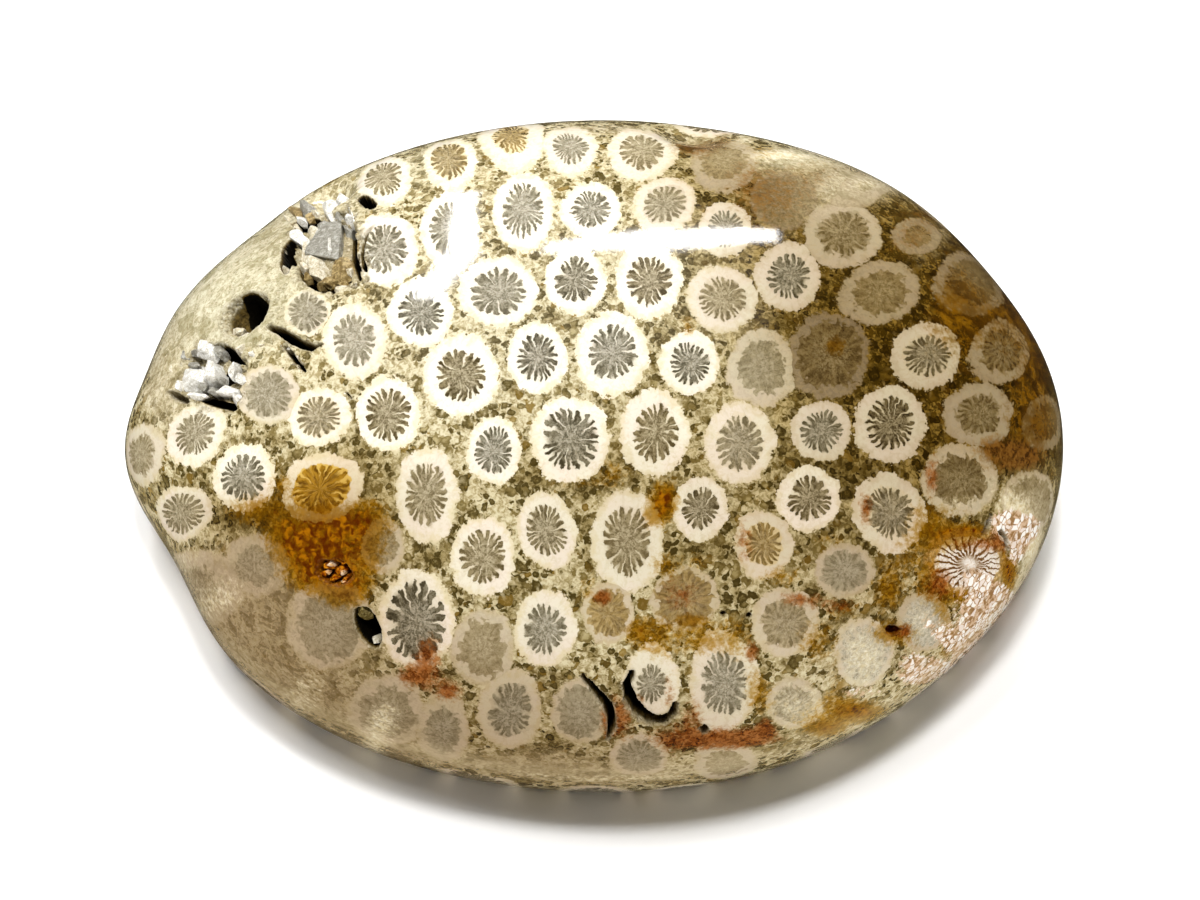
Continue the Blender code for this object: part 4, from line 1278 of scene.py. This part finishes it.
def ball(level):
    """Points and faces of a unit ball."""
    bm = bmesh.new()
    bmesh.ops.create_icosphere(bm, subdivisions=level, radius=1.0)
    pts = np.array([v.co[:] for v in bm.verts])
    fcs = np.array([[v.index for v in f.verts] for f in bm.faces])
    bm.free()
    return pts, fcs


BALL, BALL_FACES = ball(4)


def block_points(n, x, y, wide, high, turn, below, thick):
    """A rough block cut by flat faces, standing with its top just under the polish."""
    p, normal = on_stone(x, y)
    u, v = patch_axes(p, normal, wide, high, turn)
    e1, e2, e3 = np.linalg.inv(np.stack([u, v, normal])).T
    pts = BALL.copy()
    for k in range(14):
        a, b = lattice(n, k, 1, 5), lattice(n, k, 2, 5)
        z, t = 2.0 * a - 1.0, 2.0 * math.pi * b
        r = math.sqrt(max(0.0, 1.0 - z * z))
        cut = np.array([r * math.cos(t), r * math.sin(t), z])
        off = 0.50 + 0.34 * lattice(n, k, 3, 5)
        over = np.maximum(pts @ cut - off, 0.0)
        pts = pts - over[:, None] * cut
    pts = pts * (1.0 + 0.050 * soft_noise(BALL + n, 4.3, 5, 3))[:, None]
    pts = pts / np.abs(pts).max(0)
    top = pts[:, 2].max()
    pts[:, 2] -= top
    return (p - normal * below + pts[:, :1] * e1 + pts[:, 1:2] * e2
            + pts[:, 2:] * 0.5 * thick * normal)


def add_blocks():
    groups = {}
    for n, (x, y, wide, high, turn, below, thick, kind) in enumerate(BLOCKS):
        groups.setdefault(kind, []).append(block_points(n, x, y, wide, high, turn, below, thick))
    for kind, shapes in sorted(groups.items()):
        name, light, mid, dark, rough, dusk = BLOCK_KINDS[kind]
        pts = np.concatenate(shapes)
        fcs = np.concatenate([BALL_FACES + k * len(BALL) for k in range(len(shapes))])
        data = bpy.data.meshes.new(name)
        data.from_pydata((pts * MM).tolist(), [], fcs.tolist())
        data.materials.append(block_stone(name, light, mid, dark, rough, dusk))
        made = bpy.data.objects.new(name, data)
        scene_root.objects.link(made)
        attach(made, "root")


scene_root = bpy.context.scene.collection
add_blocks()

# =============================================================================
# Floor, light and camera
# =============================================================================
scene = bpy.context.scene


def sheet_object(name, corners, material):
    data = bpy.data.meshes.new(name)
    data.from_pydata([tuple(c) for c in corners], [], [tuple(range(len(corners)))])
    data.materials.append(material)
    made = bpy.data.objects.new(name, data)
    scene.collection.objects.link(made)
    made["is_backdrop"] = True
    return made


white = bpy.data.materials.new("studio_white")
white.use_nodes = True
shader = white.node_tree.nodes["Principled BSDF"]
shader.inputs["Base Color"].default_value = (0.94, 0.94, 0.94, 1.0)
shader.inputs["Roughness"].default_value = 0.75
shader.inputs["Specular IOR Level"].default_value = 0.15
half = 3.0
floor = sheet_object("studio_floor", [(-half, -half, 0), (half, -half, 0), (half, half, 0), (-half, half, 0)], white)


floor.visible_glossy = False


def area(name, at, aim, wide, high, power, tint=(1.0, 1.0, 1.0), spread=180.0, turn=0.0):
    lamp = bpy.data.lights.new(name, "AREA")
    lamp.shape, lamp.size, lamp.size_y = "RECTANGLE", wide, high
    lamp.energy, lamp.color, lamp.spread = power, tint, math.radians(spread)
    made = bpy.data.objects.new(name, lamp)
    scene.collection.objects.link(made)
    at, aim = Vector(at), Vector(aim)
    made.location = at
    made.rotation_mode = "QUATERNION"
    facing = (aim - at).to_track_quat("-Z", "Y")
    made.rotation_quaternion = facing @ Matrix.Rotation(math.radians(turn), 4, "Z").to_quaternion()
    return made


def toward(azimuth, elevation, far):
    a, e = math.radians(azimuth), math.radians(elevation)
    return (far * math.cos(e) * math.cos(a), far * math.cos(e) * math.sin(a), far * math.sin(e))


def mirrored(x, y, far=0.42):
    """Where a lamp would be for its reflection to show at a place of the picture."""
    p, n = on_stone(x, y)
    to_eye = unit(EYE - p)
    return Vector(p * MM) + Vector(2.0 * (n @ to_eye) * n - to_eye) * far


def glow(name, places, power, far=0.42):
    """A small bright panel whose mirror image has the outline given in the picture."""
    material = bpy.data.materials.new(name)
    material.use_nodes = True
    tree = material.node_tree
    tree.nodes.clear()
    light = tree.nodes.new("ShaderNodeEmission")
    light.inputs["Strength"].default_value = power
    out = tree.nodes.new("ShaderNodeOutputMaterial")
    tree.links.new(light.outputs[0], out.inputs["Surface"])
    return sheet_object(name, [mirrored(x, y, far) for x, y in places], material)


world = bpy.data.worlds.new("studio")
scene.world = world
world.use_nodes = True
world.node_tree.nodes["Background"].inputs["Color"].default_value = (1.0, 1.0, 1.0, 1.0)
world.node_tree.nodes["Background"].inputs["Strength"].default_value = 0.022

key = area("key", toward(92.0, 79.5, 0.90), (0, 0, 0.01), 0.11, 0.09, 4.3)
right = area("right_key", toward(56.0, 66.0, 0.90), (0, 0, 0.01), 0.16, 0.14, 2.4)
side = area("side_key", toward(140.0, 66.0, 0.90), (0, 0, 0.01), 0.24, 0.22, 4.9)
low_front = area("low_front", toward(264.0, 1.6, 0.90), (0, 0, 0.012), 0.90, 0.03, 8.2, (1.0, 0.96, 0.88))
low_right = area("low_right", toward(-8.0, 1.6, 0.90), (0, 0, 0.012), 0.40, 0.03, 2.6, (1.0, 0.95, 0.86))
fill_right = area("fill_right", toward(16.0, 14.0, 0.90), (0, 0, 0.012), 0.40, 0.08, 2.1, (1.0, 0.97, 0.92))
low_left = area("low_left", toward(188.0, 1.6, 0.90), (0, 0, 0.012), 0.40, 0.03, 1.4)
fill_left = area("fill_left", toward(165.0, 14.0, 0.90), (0, 0, 0.012), 0.40, 0.08, 2.2)
for lamp in (key, right, side, low_front, low_right, low_left, fill_right, fill_left):
    lamp.visible_glossy = False


area("veil", toward(104.0, 46.0, 0.72), (0, 0, 0.01), 0.80, 0.62, 0.75)

glow("strip_glow", [(545, 254), (545, 244), (600, 235), (640, 230), (700, 228), (777, 230), (777, 242), (700, 248), (641, 251)], 22.0)
glow("window_glow", [(462, 193), (481, 190), (481, 254), (463, 274), (441, 300), (414, 300), (432, 272), (448, 254), (455, 215)], 22.0)

camera_data = bpy.data.cameras.new("camera")
camera_data.sensor_width = 36.0
camera_data.lens = PX_PER_MM * DISTANCE * 36.0 / 1200.0
camera_data.clip_start, camera_data.clip_end = 0.01, 20.0
camera = bpy.data.objects.new("camera", camera_data)
scene.collection.objects.link(camera)
camera.location = Vector(EYE * MM)
camera.rotation_mode = "QUATERNION"
camera.rotation_quaternion = Matrix((RIGHT, UP, BACK)).transposed().to_quaternion()
scene.camera = camera
scene.view_settings.view_transform = "Standard"
scene.view_settings.look = "None"

low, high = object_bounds()
{"cad": CAD_BOX, "visual": [list(map(float, low)), list(map(float, high))]}
